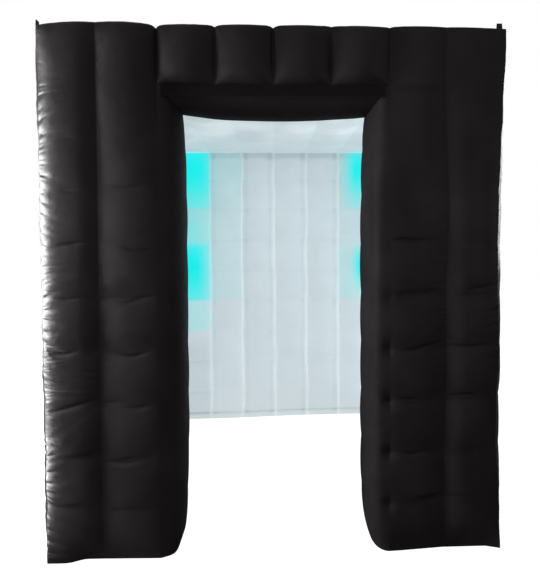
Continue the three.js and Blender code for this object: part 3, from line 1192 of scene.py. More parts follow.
@dataclass(frozen=True)
class Lamp:
    """A patch of coloured light behind the back wall's lining, bounded by the rows it shines through."""

    low: float
    high: float
    low_blur: float
    high_blur: float
    heart: Pair
    spread: Pair
    strength: float
    wash: float = 0.0
    from_left: bool = True
    column: float = PLAN.column
    blur: float = 0.006

    def share(self, u: Array, v: Array, width: float) -> Array:
        """How much of the lamp comes through.

        Args:
            u: Places across.
            v: Places along.
            width: Width of the panel.

        Returns:
            Shares from 0 to 1.
        """
        away = u if self.from_left else width - u
        rows = smooth_rise(self.low - self.low_blur, self.low + self.low_blur, v)
        rows *= 1.0 - smooth_rise(self.high - self.high_blur, self.high + self.high_blur, v)
        across = np.maximum(away - self.heart[0], 0.0) / self.spread[0]
        along = (v - self.heart[1]) / self.spread[1]
        patch = self.strength * np.exp(-(across**2) - along**2)
        inside = 1.0 - smooth_rise(self.column - self.blur, self.column + self.blur, away)
        return rows * inside * np.maximum(patch, self.wash)


@dataclass(frozen=True)
class LiningPanel(QuiltedPanel):
    """A panel of the room's lining, with folded seams, a hem, and lamps behind it on the back wall."""

    lamps: tuple[Lamp, ...] = ()
    seam_folds: float = 1.0
    pitch: float = 0.247
    first_row: float = 2.194
    hem: float = 0.042
    # Painted light: how much paler the panel is painted towards its far end; the ceiling uses it to be paler
    # towards the front.
    pale: float = 0.0
    # Painted shade: how much darker the low part of the panel's first column is painted.
    dim_corner: float = 0.0
    lit: float = 1.0
    lit_fall: float = 0.0
    lit_level: float = 1.35
    strip: Pair = (0.6, 0.009)
    strip_wander: Pair = (0.004, 0.3)
    strip_shade: Triple = (0.3, 0.03, 0.018)
    row_shade: Pair = (0.16, 0.03)
    top_shade: Triple = (0.5, 0.075, 0.03)
    hem_shade: Pair = (0.9, 0.008)
    hem_pale: Pair = (0.25, 0.006)
    corner_across: Pair = (0.25, 0.275)
    corner_up: Pair = (0.55, 0.75)

    def folds_and_shade(self, u: Array, v: Array) -> Array:
        """How much paler or darker each place is made: paler where the seams and the hem lie double, with
        painted shade beside the seams, under the rows, at the top of the walls, along the hem and low in the
        first column, and painted light towards the far end of a panel that asks for it.

        Args:
            u: Places across.
            v: Places along.

        Returns:
            Shares from -1, in painted shade, to 1, paler where the cloth lies double and where painted light
            is added.
        """
        length = self.size[1]
        # Painted light: paler towards the far end of the panel, unevenly.
        total = self.pale * smooth_rise(0.1, length, v) * (1.0 + 0.5 * Ripple(self.seed + 60, 0.35).at(u, v))
        size, wave = self.strip_wander
        pale, half = self.strip
        dark, aside, blur = self.strip_shade
        for k in range(1, self.columns):
            away = u - k * self.column - size * Ripple(self.seed + 80 + k, wave).at(0.0 * u, v)
            turned = 1.0 if 2 * k < self.columns else -1.0
            total += self.seam_folds * pale * np.exp(-((away / half) ** 2))
            total -= self.seam_folds * dark * np.exp(-(((away - aside * turned) / blur) ** 2))
        if self.seam_folds:
            dark, reach = self.row_shade
            total -= dark * np.exp(-np.mod(self.first_row - v, self.pitch) / reach)
            dark, low, high = self.top_shade
            total -= dark * smooth_rise(length - low, length - high, v)
            dark, half = self.hem_shade
            total -= dark * np.exp(-(((v - self.hem) / half) ** 2))
            pale, below = self.hem_pale
            total += pale * (v < self.hem - below)
            # Painted shade over the low part of the first column.
            corner = (1.0 - smooth_rise(*self.corner_across, u)) * (1.0 - smooth_rise(*self.corner_up, v))
            total -= self.dim_corner * corner
        return np.clip(total, -1.0, 1.0)

    def marks(self, u: Array, v: Array) -> dict[str, Array]:
        """What its finish is told of each place.

        Args:
            u: Places across.
            v: Places along.

        Returns:
            The crests, the painted crease shade, the paler and darker shares with their painted shade and
            light, the coloured light, and how brightly the cloth glows.
        """
        dark = np.ones_like(u)
        for lamp in self.lamps:
            dark *= 1.0 - lamp.share(u, v, self.size[0])
        lit = 1.0 - dark * (1.0 - self.lit - self.lit_fall * (self.lit_level - v))
        return {**super().marks(u, v), "folds_and_shade": self.folds_and_shade(u, v), "glow": 1.0 - dark, "lit": lit}


@dataclass(frozen=True)
class DoorRoll:
    """A half-round roll of cloth that closes the wall beside or over the doorway, mitred where two meet."""

    node: str
    place: Place
    length: float
    bulge: float
    end_bulges: Pair
    cuts: Pair
    seed: int
    is_lintel: bool = False
    pier: QuiltedPanel | None = None
    foot: float = 1.0
    foot_turn: float = 0.0
    roundness: float = 1.0
    section: float = 1.0
    dips: tuple[float, ...] = ()
    gather: float = 0.004
    pinches: tuple[Pair, ...] = ()
    creases: tuple[Crease, ...] = ()
    from_back: bool = False
    facets: int = 38
    step: float = 0.009
    foot_ease: float = 0.1
    top_ease: float = 0.15
    square_height: float = 0.24
    end_stretch: float = 0.3
    dull: float = 0.65
    dull_reach: float = 0.12
    top_turn: Pair = (0.47, 0.12)
    unevenness: Pair = (0.0012, 0.35)
    calm_end: float = 0.14
    dip_reach: float = 0.6
    dip_power: float = 2.4

    @property
    def radius(self) -> float:
        """Half of the wall's thickness."""
        return PLAN.column / 2.0

    def bulge_at(self, v: Array) -> Array:
        """How far the roll stands out along its length.

        Args:
            v: Places along.

        Returns:
            Distances out of the wall.
        """
        if self.is_lintel:
            ends = np.interp(v, (0.0, self.length), self.end_bulges)
            return ends + (self.bulge - ends) * (1.0 - (2.0 * v / self.length - 1.0) ** 2)
        out = self.bulge * (self.foot + (1.0 - self.foot) * (1.0 - np.exp(-v / self.foot_ease)))
        out -= (self.bulge - self.end_bulges[1]) * np.exp((v - self.length) / self.top_ease)
        for j, dip in enumerate(self.dips, start=1):
            away = np.abs(v - j * PLAN.row + PLAN.room_height - PLAN.door_height)
            out -= dip * np.clip(1.0 - away / (self.dip_reach * PLAN.row), 0.0, 1.0) ** self.dip_power
        return out

    def grid(self) -> ClothGrid:
        """Shapes the roll.

        Returns:
            The cloth, ready to be made into a piece.
        """
        angles = np.linspace(0.0, math.pi, self.facets + 1)
        along = np.linspace(0.0, self.length, round(self.length / self.step) + 1)
        angle, v = np.meshgrid(angles, along, indexing="ij")
        low, high = (self.length - down for down in self.top_turn)
        section = self.section + (1.0 - self.section) * smooth_rise(low, high, v)
        power = self.roundness + (section - self.roundness) * np.clip(v / self.square_height, 0.0, 1.0)
        side = np.sign(np.cos(angle)) * np.abs(np.cos(angle)) ** power
        crown = np.abs(np.sin(angle)) ** power
        front = (1.0 - side) / 2.0 if self.from_back else (1.0 + side) / 2.0
        arc = angle * self.radius
        to_front = math.pi * self.radius - arc if self.from_back else arc
        to_back = math.pi * self.radius - to_front
        lift = Gather(self.gather, self.seed).height(v, to_front)
        lift += Gather(self.gather, self.seed + 50).height(v, to_back)
        size, wave = self.unevenness
        lift += size * Ripple(self.seed + 90, wave).at(arc, v) * np.sin(angle)
        folds_and_shade = sum((crease.height(to_front, v) for crease in self.creases), np.zeros_like(v))
        dimples = sum((depth * dimple(to_front, v - at) for at, depth in self.pinches), np.zeros_like(v))
        lift += folds_and_shade - dimples
        to_end = self.length - v
        lift *= smooth_rise(0.0, self.calm_end, np.minimum(v, to_end) if self.is_lintel else to_end)
        rise = (PLAN.room_height - PLAN.door_height) * (1.0 - front)
        across = self.radius - side * (self.radius + lift)
        if self.pier:
            forward = self.pier.seam_lift(v) - self.pier.seam_fall(v) * crown * self.bulge
            across += (1.0 if self.from_back else -1.0) * front * forward
        turned = 1.0 - self.foot_turn * front**2 * np.exp(-v / self.foot_ease)
        out = crown * turned * (self.bulge_at(v) + lift) - (rise if self.is_lintel else 0.0)
        stretch = self.end_stretch
        cut_back = crown * self.cuts[1] - (0.0 if self.is_lintel else rise)
        placed = v - cut_back * np.clip(1.0 - to_end / stretch, 0.0, 1.0)
        placed += crown * self.cuts[0] * np.clip(1.0 - v / stretch, 0.0, 1.0)
        points = self.place.world(across, placed, out)
        points[..., 2] = np.maximum(points[..., 2], 0.0)
        # The crest share makes the roll lighter towards its crown, partly as wear and partly as painted
        # light.
        marks = {"crest": np.sin(angle),
                 # Painted shade: the roll's creases and dimples are marked to be painted darker.
                 "crease_shade": np.clip(dimples / DEEP_DIMPLE - folds_and_shade / DEEP_CREASE, 0.0, 1.0),
                 "dull": self.dull * smooth_rise(0.0, self.dull_reach, to_front)}
        start = self.pier.size[0] if self.pier and not self.from_back else 0.0
        across_cut = start - to_front if self.from_back else start + arc
        return ClothGrid(f"{self.node}_cloth", points, np.stack([across_cut, v], axis=-1), marks)

    def build(self, finish: Material) -> Piece:
        """Args:
            finish: Its material.

        Returns:
            The piece.
        """
        piece = self.grid().piece(finish, Slot.BLACK_CLOTH, self.node, PLAN.cloth)
        return piece


@dataclass(frozen=True)
class FlatStrip:
    """A flat strip of cloth or tape, a little uneven, over the box of its CAD node."""

    node: str
    place: Place
    width: float
    length: float
    thickness: float
    seed: int
    wave: float = 0.0006
    step: float = 0.012
    nose: float = 0.0
    power: float = 1.0
    held: str = "laid"
    rests_on: tuple[str, ...] = ()
    fewest: int = 8
    ripple: float = 0.16
    crest: float = 0.3

    def build(self, finish: Material, slot: Slot) -> Piece:
        """Args:
            finish: Its material.
            slot: The record's slot for it; not used.

        Returns:
            The piece.
        """
        across = np.linspace(0.0, self.width, max(self.fewest, round(self.width / self.step)) + 1)
        along = np.linspace(0.0, self.length, max(self.fewest, round(self.length / self.step)) + 1)
        u, v = np.meshgrid(across, along, indexing="ij")
        ripple = np.clip(Ripple(self.seed, self.ripple).at(u, v), -1.0, 1.0)
        height = self.thickness - self.wave * (1.0 + ripple) / 2.0
        placed = v
        if self.nose > 0.0:
            turn = np.arccos(np.clip(np.abs(2.0 * u / self.width - 1.0) ** (1.0 / self.power), 0.0, 1.0))
            longer = self.nose * np.sin(turn) ** self.power
            placed = v * (self.length - self.nose + longer) / self.length
        points = self.place.world(u, placed, height)
        marks = {"crest": np.full_like(u, self.crest)}
        cloth = ClothGrid(f"{self.node}_strip", points, np.stack([u, v], axis=-1), marks)
        piece = cloth.piece(finish, slot, self.node, self.thickness - self.wave)
        return piece


@dataclass(frozen=True)
class FoldedTab:
    """A short piece of webbing folded over on itself and sewn into a top seam."""

    node: str
    place: Place
    width: float = 0.026
    height: float = 0.031
    layer: float = 0.0018
    gap: float = 0.0014
    lean: float = 0.024
    narrowing: float = 0.12
    turns: int = 14
    steps: int = 9
    threads: int = 13

    def build(self, finish: Material) -> Piece:
        """Args:
            finish: Its material.

        Returns:
            The piece.
        """
        outer = self.layer + self.gap / 2.0
        straight = self.height - outer
        rise = np.linspace(0.0, straight, self.steps)
        bend = np.linspace(0.0, math.pi, self.turns + 1)[1:-1]
        x = np.concatenate([np.full_like(rise, outer), outer * np.cos(bend), np.full_like(rise, -outer)])
        z = np.concatenate([rise, straight + outer * np.sin(bend), rise[::-1]])
        run = np.concatenate([[0.0], np.cumsum(np.hypot(np.diff(x), np.diff(z)))])
        across = np.linspace(0.0, self.width, self.threads)
        side, w = np.meshgrid(x, across, indexing="ij")
        up = np.repeat(z[:, None], len(across), axis=1)
        pull = 1.0 - self.narrowing * (up / self.height) ** 2
        middle = self.width / 2.0
        leaning = side + self.lean * up * up / self.height
        points = self.place.world(leaning, up, middle + (w - middle) * pull)
        cut = np.stack([np.repeat(run[:, None], len(across), axis=1), w], axis=-1)
        cloth = ClothGrid(f"{self.node}_webbing", points, cut)
        piece = cloth.piece(finish, Slot.WEBBING, self.node, self.layer)
        return piece


@dataclass
class Booth:
    """The whole booth: which panel goes where."""

    fullness: tuple[float, ...] = (1.0, 0.94, 0.97, 1.0, 0.95, 0.98, 0.93, 1.0)
    dips: tuple[float, ...] = (0.006, 0.009, 0.010, 0.010, 0.008, 0.007, 0.004, 0.003, 0.003)
    right_dips: tuple[float, ...] = (0.007, 0.010, 0.010, 0.009, 0.007, 0.004, 0.002, 0.001, 0.002)
    outer_crown: float = 0.048
    inner_crown: float = 0.042
    row_shift: float = PLAN.door_height - PLAN.room_height
    bases: tuple[str, ...] = ("left_base", "right_base", "back_base", "front_left_base", "front_right_base")
    base_margin: float = 0.003
    plain_share: float = 0.2
    crease_middles: Pair = (0.38, 0.62)
    crease_reaches: Pair = (0.15, 0.3)
    crease_levels: Pair = (-0.008, 0.008)
    crease_bends: Pair = (-0.012, 0.012)
    crease_shares: Pair = (0.4, 1.1)
    crease_fall: Pair = (1.15, 0.6)
    left_creases: tuple[SeenCrease, ...] = (
        SeenCrease(0.5, ((58, 138), (66, 137), (74, 140))),
        SeenCrease(0.6, ((54, 192), (62, 190), (76, 191))),
        SeenCrease(0.5, ((113, 186), (125, 188), (133, 187), (146, 186))),
        SeenCrease(1.0, ((50, 243), (60, 245), (70, 244), (82, 242))),
        SeenCrease(0.8, ((50, 248), (60, 246))),
        SeenCrease(0.7, ((118, 245), (128, 247), (136, 249), (146, 250), (155.7, 249.2))),
        SeenCrease(0.5, ((54, 285), (62, 284))),
        SeenCrease(0.8, ((55, 294), (66, 299), (79, 297))),
        SeenCrease(0.7, ((122, 304), (130, 302), (138, 298), (150, 296), (156.3, 296.8))),
        SeenCrease(1.1, ((50, 350), (58, 352), (66, 354), (78, 349))),
        SeenCrease(0.6, ((52, 358), (66, 351))),
        SeenCrease(1.2, ((119, 353), (126, 355), (136, 355), (146, 351))),
        SeenCrease(1.0, ((52, 411), (64, 409), (72, 406), (92, 400))),
        SeenCrease(0.6, ((105, 403), (114, 402), (122, 400))),
        SeenCrease(0.7, ((128, 407), (140, 407), (150, 404))),
        SeenCrease(0.8, ((56, 458), (72, 457), (90, 453), (100, 450)), half_width=0.011),
        SeenCrease(0.9, ((108, 462), (118, 461), (128, 458), (138, 456))),
        SeenCrease(0.8, ((116, 464), (128, 462), (140, 459))),
        SeenCrease(0.6, ((52, 507), (66, 507), (90, 503)), half_width=0.011),
        SeenCrease(0.4, ((108, 512), (130, 508), (150, 508)), half_width=0.01),
    )
    right_creases: tuple[SeenCrease, ...] = (
        SeenCrease(0.4, ((396, 86), (420, 85), (446, 86)), half_width=0.01),
        SeenCrease(0.8, ((393.1, 239.9), (402, 238), (412, 240), (425, 239))),
        SeenCrease(0.5, ((398, 293), (420, 292), (440, 290)), half_width=0.01),
        SeenCrease(0.9, ((403, 350), (412, 349), (422, 346), (440, 342))),
        SeenCrease(1.0, ((402, 398), (410, 398), (417, 399))),
        SeenCrease(0.6, ((405, 402), (418, 403))),
        SeenCrease(1.1, ((406, 452), (414, 453), (422, 452))),
        SeenCrease(0.9, ((412, 499), (430, 497), (444, 494)), half_width=0.011),
        SeenCrease(0.6, ((467, 293), (474, 287), (484, 287), (495, 285))),
        SeenCrease(0.6, ((450, 345), (468, 345), (488, 344))),
        SeenCrease(0.8, ((451, 395), (464, 393), (480, 394))),
        SeenCrease(0.4, ((468, 448), (480, 447))),
        SeenCrease(0.6, ((450, 496), (458, 494), (470, 494))),
    )
    jamb_creases: tuple[Crease, ...] = (
        Crease(0.6, ((0.13, 1.80), (0.165, 1.803), (0.2, 1.795))),
        Crease(0.5, ((0.14, 1.762), (0.18, 1.757))),
        Crease(0.6, ((0.13, 1.27), (0.17, 1.276), (0.21, 1.268))),
        Crease(0.6, ((0.13, 0.81), (0.17, 0.806), (0.2, 0.812))),
        Crease(0.5, ((0.135, 0.776), (0.18, 0.772))),
    )
    pinch_rows: tuple[tuple[int, float], ...] = (
        (1, 0.016), (2, 0.019), (3, 0.018), (4, 0.016), (5, 0.008), (6, 0.004),
    )
    sight: Sight = Sight()
    piers: dict[str, QuiltedPanel] = field(default_factory=dict)

    def __post_init__(self) -> None:
        """Makes the finishes."""
        self.black = BlackCloth().material()
        self.white = WhiteLining().material()
        self.tape = LoopPile().material()
        self.webbing = Webbing().material()

    @property
    def pier_base(self) -> float:
        """Width of the strip under a pier, up to the foot of its roll."""
        return PLAN.room_half + self.base_margin - PLAN.door_half

    def scattered(self, seed: int, columns: int, rows: int, row: float, shift: float) -> tuple[Crease, ...]:
        """Short creases over a panel that doesn't show in the photograph, in the manner of those that do.

        Args:
            seed: Which panel it is.
            columns: Its columns.
            rows: Its rows.
            row: Height of a row.
            shift: How far its row seams lie off the even rows.

        Returns:
            The creases.
        """
        rng = np.random.default_rng(seed)
        made = []
        low_share, fall = self.crease_fall
        for i in range(columns):
            for j in range(1, rows):
                if rng.random() < self.plain_share:
                    continue
                middle = (i + rng.uniform(*self.crease_middles)) * PLAN.column
                reach = rng.uniform(*self.crease_reaches) * PLAN.column
                level = j * row + shift + rng.uniform(*self.crease_levels)
                bends = rng.uniform(*self.crease_bends, 3)
                line = tuple((middle + k * reach, level + float(bends[k + 1])) for k in (-1, 0, 1))
                share = float(rng.uniform(*self.crease_shares)) * (low_share - fall * j / rows)
                made.append(Crease(share, line))
        return tuple(made)

    def outer_panels(self) -> list[QuiltedPanel]:
        """The panels of the black skin.

        Returns:
            The panels.
        """
        half, height, door, head = PLAN.half, PLAN.height, PLAN.door_half, PLAN.door_height
        floor = Edge(EdgeKind.FLOOR, 900, fill=0.3)
        jamb = Edge(EdgeKind.DOOR, 950, pull=0.2)
        corner = EdgeKind.OUTSIDE_CORNER
        front_left = Edge(corner, 110, bow=0.003, pull=1.4, calm=(1.7, 2.3), pitch=PLAN.row,
                          drawn=(0.0, 0.016, 0.0), spread=1.6)
        front_right = Edge(corner, 120, bow=0.002, pull=0.3, pitch=PLAN.row,
                           swells=((0.28, 0.92, -0.013), (0.85, 1.98, -0.011), (2.1, 2.7, 0.008)))
        upright = {"bow": 0.004, "pull": 0.6, "pitch": PLAN.row}
        back_left, back_right = (Edge(corner, seam, **upright) for seam in (130, 140))
        top_front = Edge(corner, 210, bow=0.002, pull=0.35,
                         notches=(0.0, 0.001, 0.012, 0.008, 0.011, 0.003, 0.004, 0.001, 0.0),
                         swells=((-1.05, -0.53, 0.009), (-1.12, 1.12, 0.0085), (0.5, 1.07, 0.004)))
        level = {"bow": 0.005, "pull": 0.5}
        top_back, top_left, top_right = (Edge(corner, seam, **level) for seam in (220, 230, 240))
        rows = {j: j * PLAN.row + self.row_shift for j in range(1, PLAN.rows)}
        pinches = tuple((0.0, rows[j], depth) for j, depth in self.pinch_rows)
        whole = {"columns": PLAN.columns, "rows": PLAN.rows, "row": PLAN.row, "crown": self.outer_crown,
                 "fullness": self.fullness, "dips": self.dips, "row_shift": self.row_shift}
        pier = {**whole, "columns": 2, "grain": Grain.FINE, "seam_gather": 0.0014}
        loose = [self.scattered(s, PLAN.columns, PLAN.rows, PLAN.row, self.row_shift) for s in (41, 42, 43)]
        left_creases = tuple(crease.on_panel(self.sight, -half) for crease in self.left_creases)
        right_creases = tuple(crease.on_panel(self.sight, door) for crease in self.right_creases)
        toe = (0.022, -0.03)
        left_pier = QuiltedPanel(
            "front_left_panel", Place((-half, -half, 0.0), RIGHT, UP), seed=1000,
            edges=PanelEdges(front_left, jamb, Edge(EdgeKind.FLOOR, 900, fill=0.55), top_front),
            creases=left_creases, run_on=RunOn(1, True, crest=0.65, power=2.5, row_hold=0.15), toe=toe,
            stand=((0.0, 0.024), (0.5, 0.027), (1.0, 0.034)), roundness=1.0, crests=(0.68, 0.5),
            seam_levels=(0.0, 0.022, 0.0), flank=2.5, corner_round=0.45, rests_on=("front_left_base",),
            **{**pier, "fullness": (1.0, 1.05)})
        right_pier = QuiltedPanel(
            "front_right_panel", Place((door, -half, 0.0), RIGHT, UP), seed=1100, pinches=pinches,
            edges=PanelEdges(jamb, front_right, floor, top_front), creases=right_creases,
            run_on=RunOn(0, False, crest=0.76, power=2.2, row_hold=0.2), rests_on=("front_right_base",),
            roundness=1.15, flat_top=(1.75, 2.2, 0.7), crests=(0.5, 0.3), seam_levels=(0.0, 0.02, 0.0),
            stand=((0.0, 0.026), (0.12, 0.022), (0.5, 0.004), (0.88, 0.004), (1.0, 0.024)),
            stand_ease=0.085, **{**pier, "fullness": self.fullness[6:], "dips": self.right_dips})
        self.piers = {"left": left_pier, "right": right_pier}
        roof = {**whole, "rows": PLAN.columns, "row": PLAN.column, "row_shift": 0.0}
        return [
            left_pier,
            right_pier,
            QuiltedPanel(
                "front_header", Place((-door, -half, head), RIGHT, UP), seed=1200,
                edges=PanelEdges(jamb, jamb, Edge(EdgeKind.DOOR, 960), top_front), rests_on=("lintel_roll",),
                **{**pier, "columns": 4, "rows": 1, "row": height - head, "fullness": self.fullness[2:6]}),
            QuiltedPanel(
                "left_side_panel", Place((-half, half, 0.0), FRONT, UP), seed=1300,
                edges=PanelEdges(back_left, front_left, floor, top_left), creases=loose[0],
                roundness=1.15, toe=toe, rests_on=("left_base",), **whole),
            QuiltedPanel(
                "right_side_panel", Place((half, -half, 0.0), BACK, UP), seed=1400,
                edges=PanelEdges(front_right, back_right, floor, top_right), creases=loose[1],
                roundness=1.15, rests_on=("right_base",), **whole),
            QuiltedPanel(
                "back_panel", Place((half, half, 0.0), LEFT, UP), seed=1500,
                edges=PanelEdges(back_right, back_left, floor, top_back), creases=loose[2],
                rests_on=("back_base",), **whole),
            QuiltedPanel(
                "roof_panel", Place((-half, -half, height), RIGHT, BACK), seed=1600,
                edges=PanelEdges(top_left, top_right, top_front, top_back),
                creases=self.scattered(44, PLAN.columns, PLAN.columns, PLAN.column, 0.0),
                slow_ends=0.24, rests_on=("back_panel",), **roof),
        ]

    def lamps(self) -> tuple[Lamp, ...]:
        """The lamps behind the back wall's lining, near its two corners.

        Returns:
            The lamps, from the top down on the left and then on the right.
        """
        rows = [LiningPanel.first_row - k * LiningPanel.pitch for k in range(8)]
        left = [
            Lamp(rows[2], 2.3, 0.005, 0.05, (0.18, 2.02), (0.16, 0.46), 1.0, 0.35),
            Lamp(rows[3], rows[2], 0.05, 0.005, (0.1, 1.5), (0.2, 0.3), 0.5, 0.3),
            Lamp(rows[5], 1.44, 0.005, 0.06, (0.15, 1.24), (0.13, 0.5), 1.0, 0.3),
            Lamp(rows[6], rows[5], 0.005, 0.005, (0.1, 0.8), (0.3, 0.5), 0.24),
            Lamp(rows[5], 2.3, 0.02, 0.05, (0.1, 2.05), (9.0, 0.5), 0.17, 0.08, column=2.0 * PLAN.column),
        ]
        right = [
            Lamp(rows[2], 2.3, 0.03, 0.05, (0.125, 2.02), (0.09, 0.3), 1.0, 0.1, False),
            Lamp(rows[5], 1.4, 0.005, 0.06, (0.09, 1.24), (0.06, 0.17), 0.9, 0.1, False),
            Lamp(rows[5], 2.3, 0.005, 0.05, (0.1, 1.6), (9.0, 9.0), 0.07, from_left=False),
        ]
        return (*left, *right)

    def lining_panels(self) -> list[LiningPanel]:
        """The panels of the white skin.

        Returns:
            The panels.
        """
        half, door, height = PLAN.room_half, PLAN.door_half, PLAN.room_height
        floor = Edge(EdgeKind.FLOOR, 905)
        inside = Edge(EdgeKind.INSIDE_CORNER, 970)
        walls = PanelEdges(inside, inside, floor, inside)
        wall = {"columns": 6, "rows": 9, "row": PLAN.row, "crown": self.inner_crown, "edges": walls,
                "fullness": self.fullness[1:7], "dips": tuple(0.55 * d for d in self.dips[:8]),
                "seam_gather": 0.0028}
        return [
            LiningPanel("back_lining", Place((-half, half, 0.0), RIGHT, UP), seed=2000,
                        lamps=self.lamps(), dim_corner=0.35, lit_fall=0.42,
                        stand=((0.0, 0.075), (0.3, 0.058), (0.62, 0.016), (1.0, 0.0)), stand_ease=0.3,
                        rests_on=("back_base",), **wall),
            LiningPanel("left_lining", Place((-half, -half, 0.0), BACK, UP), seed=2100, lit=0.1,
                        rests_on=("left_base",), **wall),
            LiningPanel("right_lining", Place((half, half, 0.0), FRONT, UP), seed=2200,
                        rests_on=("right_base",), **wall),
            LiningPanel("front_left_lining", Place((-door, -half, 0.0), LEFT, UP), seed=2300,
                        rests_on=("front_left_base",), **{**wall, "columns": 1}),
            LiningPanel("front_right_lining", Place((half, -half, 0.0), LEFT, UP), seed=2400,
                        rests_on=("front_right_base",), **{**wall, "columns": 1}),
            LiningPanel("ceiling_lining", Place((-half, half, height), RIGHT, FRONT), seed=2500,
                        # Painted light: the ceiling is painted paler towards the front.
                        rests_on=("back_lining",), seam_folds=0.0, pale=1.0, slow_ends=0.2, roundness=1.15,
                        **{**wall, "crown": 0.03, "rows": 6, "row": PLAN.column,
                           "edges": PanelEdges(inside, inside, inside, inside),
                           "dips": (0.017, 0.013, 0.010, 0.008, 0.008)}),
        ]

    def rolls(self) -> list[DoorRoll]:
        """The rolls round the doorway.

        Returns:
            The left one, the right one and the one over it.
        """
        half, door, wall, head = PLAN.half, PLAN.door_half, PLAN.column, PLAN.door_height
        deeper = (0.005, 0.006, 0.006, 0.005, 0.005, 0.004, 0.005, 0.004)
        pinches = tuple((j * PLAN.row + self.row_shift, depth) for j, depth in self.pinch_rows)
        return [
            DoorRoll("left_jamb_roll", Place((-door, -half, 0.0), BACK, UP), length=head, bulge=0.104,
                     end_bulges=(0.0, 0.09), cuts=(0.0, 0.107), seed=3000, pier=self.piers["left"],
                     foot=0.66, foot_turn=0.05, foot_ease=0.2, roundness=0.33, section=0.75,
                     dips=(0.002,) * 8, gather=0.0012),
            DoorRoll("right_jamb_roll", Place((door, wall - half, 0.0), FRONT, UP), length=head, bulge=0.104,
                     end_bulges=(0.0, 0.087), cuts=(0.0, 0.116), seed=3100, pier=self.piers["right"],
                     foot=0.62, roundness=0.8, section=0.62, dips=deeper, gather=0.003, pinches=pinches,
                     creases=self.jamb_creases, from_back=True, dull=1.0),
            DoorRoll("lintel_roll", Place((-door, -half, head), BACK, RIGHT), length=2.0 * door, bulge=0.137,
                     end_bulges=(0.107, 0.116), cuts=(0.09, 0.087), seed=3200, is_lintel=True, gather=0.002),
        ]

    def strips(self) -> list[tuple[FlatStrip, Material, Slot]]:
        """The strips under the walls and the tape over the doorway.

        Returns:
            Each strip with its material and slot.
        """
        made = []
        for seed, node in enumerate(self.bases, start=4000):
            low, high = (tuple(c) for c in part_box(node))
            wide, deep, thick = (b - a for a, b in zip(low, high))
            nose = max(0.0, wide - self.pier_base)
            if node == "front_left_base":
                place = Place((low[0], high[1], 0.0), FRONT, RIGHT)
                strip = FlatStrip(node, place, deep, wide, thick, seed, nose=nose, power=0.4)
            elif node == "front_right_base":
                place = Place((high[0], low[1], 0.0), BACK, LEFT)
                strip = FlatStrip(node, place, deep, wide, thick, seed, nose=nose)
            else:
                place = Place((low[0], low[1], 0.0), RIGHT, BACK)
                strip = FlatStrip(node, place, wide, deep, thick, seed)
            made.append((strip, self.black, Slot.BLACK_CLOTH))
        low, high = (tuple(c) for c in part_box("banner_tape"))
        wide, thick, tall = (b - a for a, b in zip(low, high))
        place = Place((low[0], high[1], low[2]), RIGHT, UP)
        tape = FlatStrip("banner_tape", place, wide, tall, thick, 4100, wave=0.0008, step=0.006,
                         held="stretched", rests_on=("front_header",))
        made.append((tape, self.tape, Slot.HOOK_TAPE))
        return made

    def tabs(self) -> list[FoldedTab]:
        """The webbing tabs on the top corners.

        Returns:
            One tab for each corner.
        """
        ways = {"front_right_tab": BACK, "back_right_tab": LEFT, "back_left_tab": FRONT,
                "front_left_tab": RIGHT}
        made = []
        for node, across in ways.items():
            low, high = (np.array(c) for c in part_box(node))
            middle = (low + high) / 2.0
            out = np.cross(across, UP)
            corner = np.array([middle[0], middle[1], low[2]]) - out * FoldedTab.width / 2.0
            made.append(FoldedTab(node, Place(tuple(float(c) for c in corner), across, UP)))
        return made

    def build(self) -> None:
        """Makes every piece."""
        for panel in self.outer_panels():
            panel.build(self.black, Slot.BLACK_CLOTH)
        for panel in self.lining_panels():
            panel.build(self.white, Slot.WHITE_CLOTH)
        for roll in self.rolls():
            roll.build(self.black)
        for strip, finish, slot in self.strips():
            strip.build(finish, slot)
        for tab in self.tabs():
            tab.build(self.webbing)


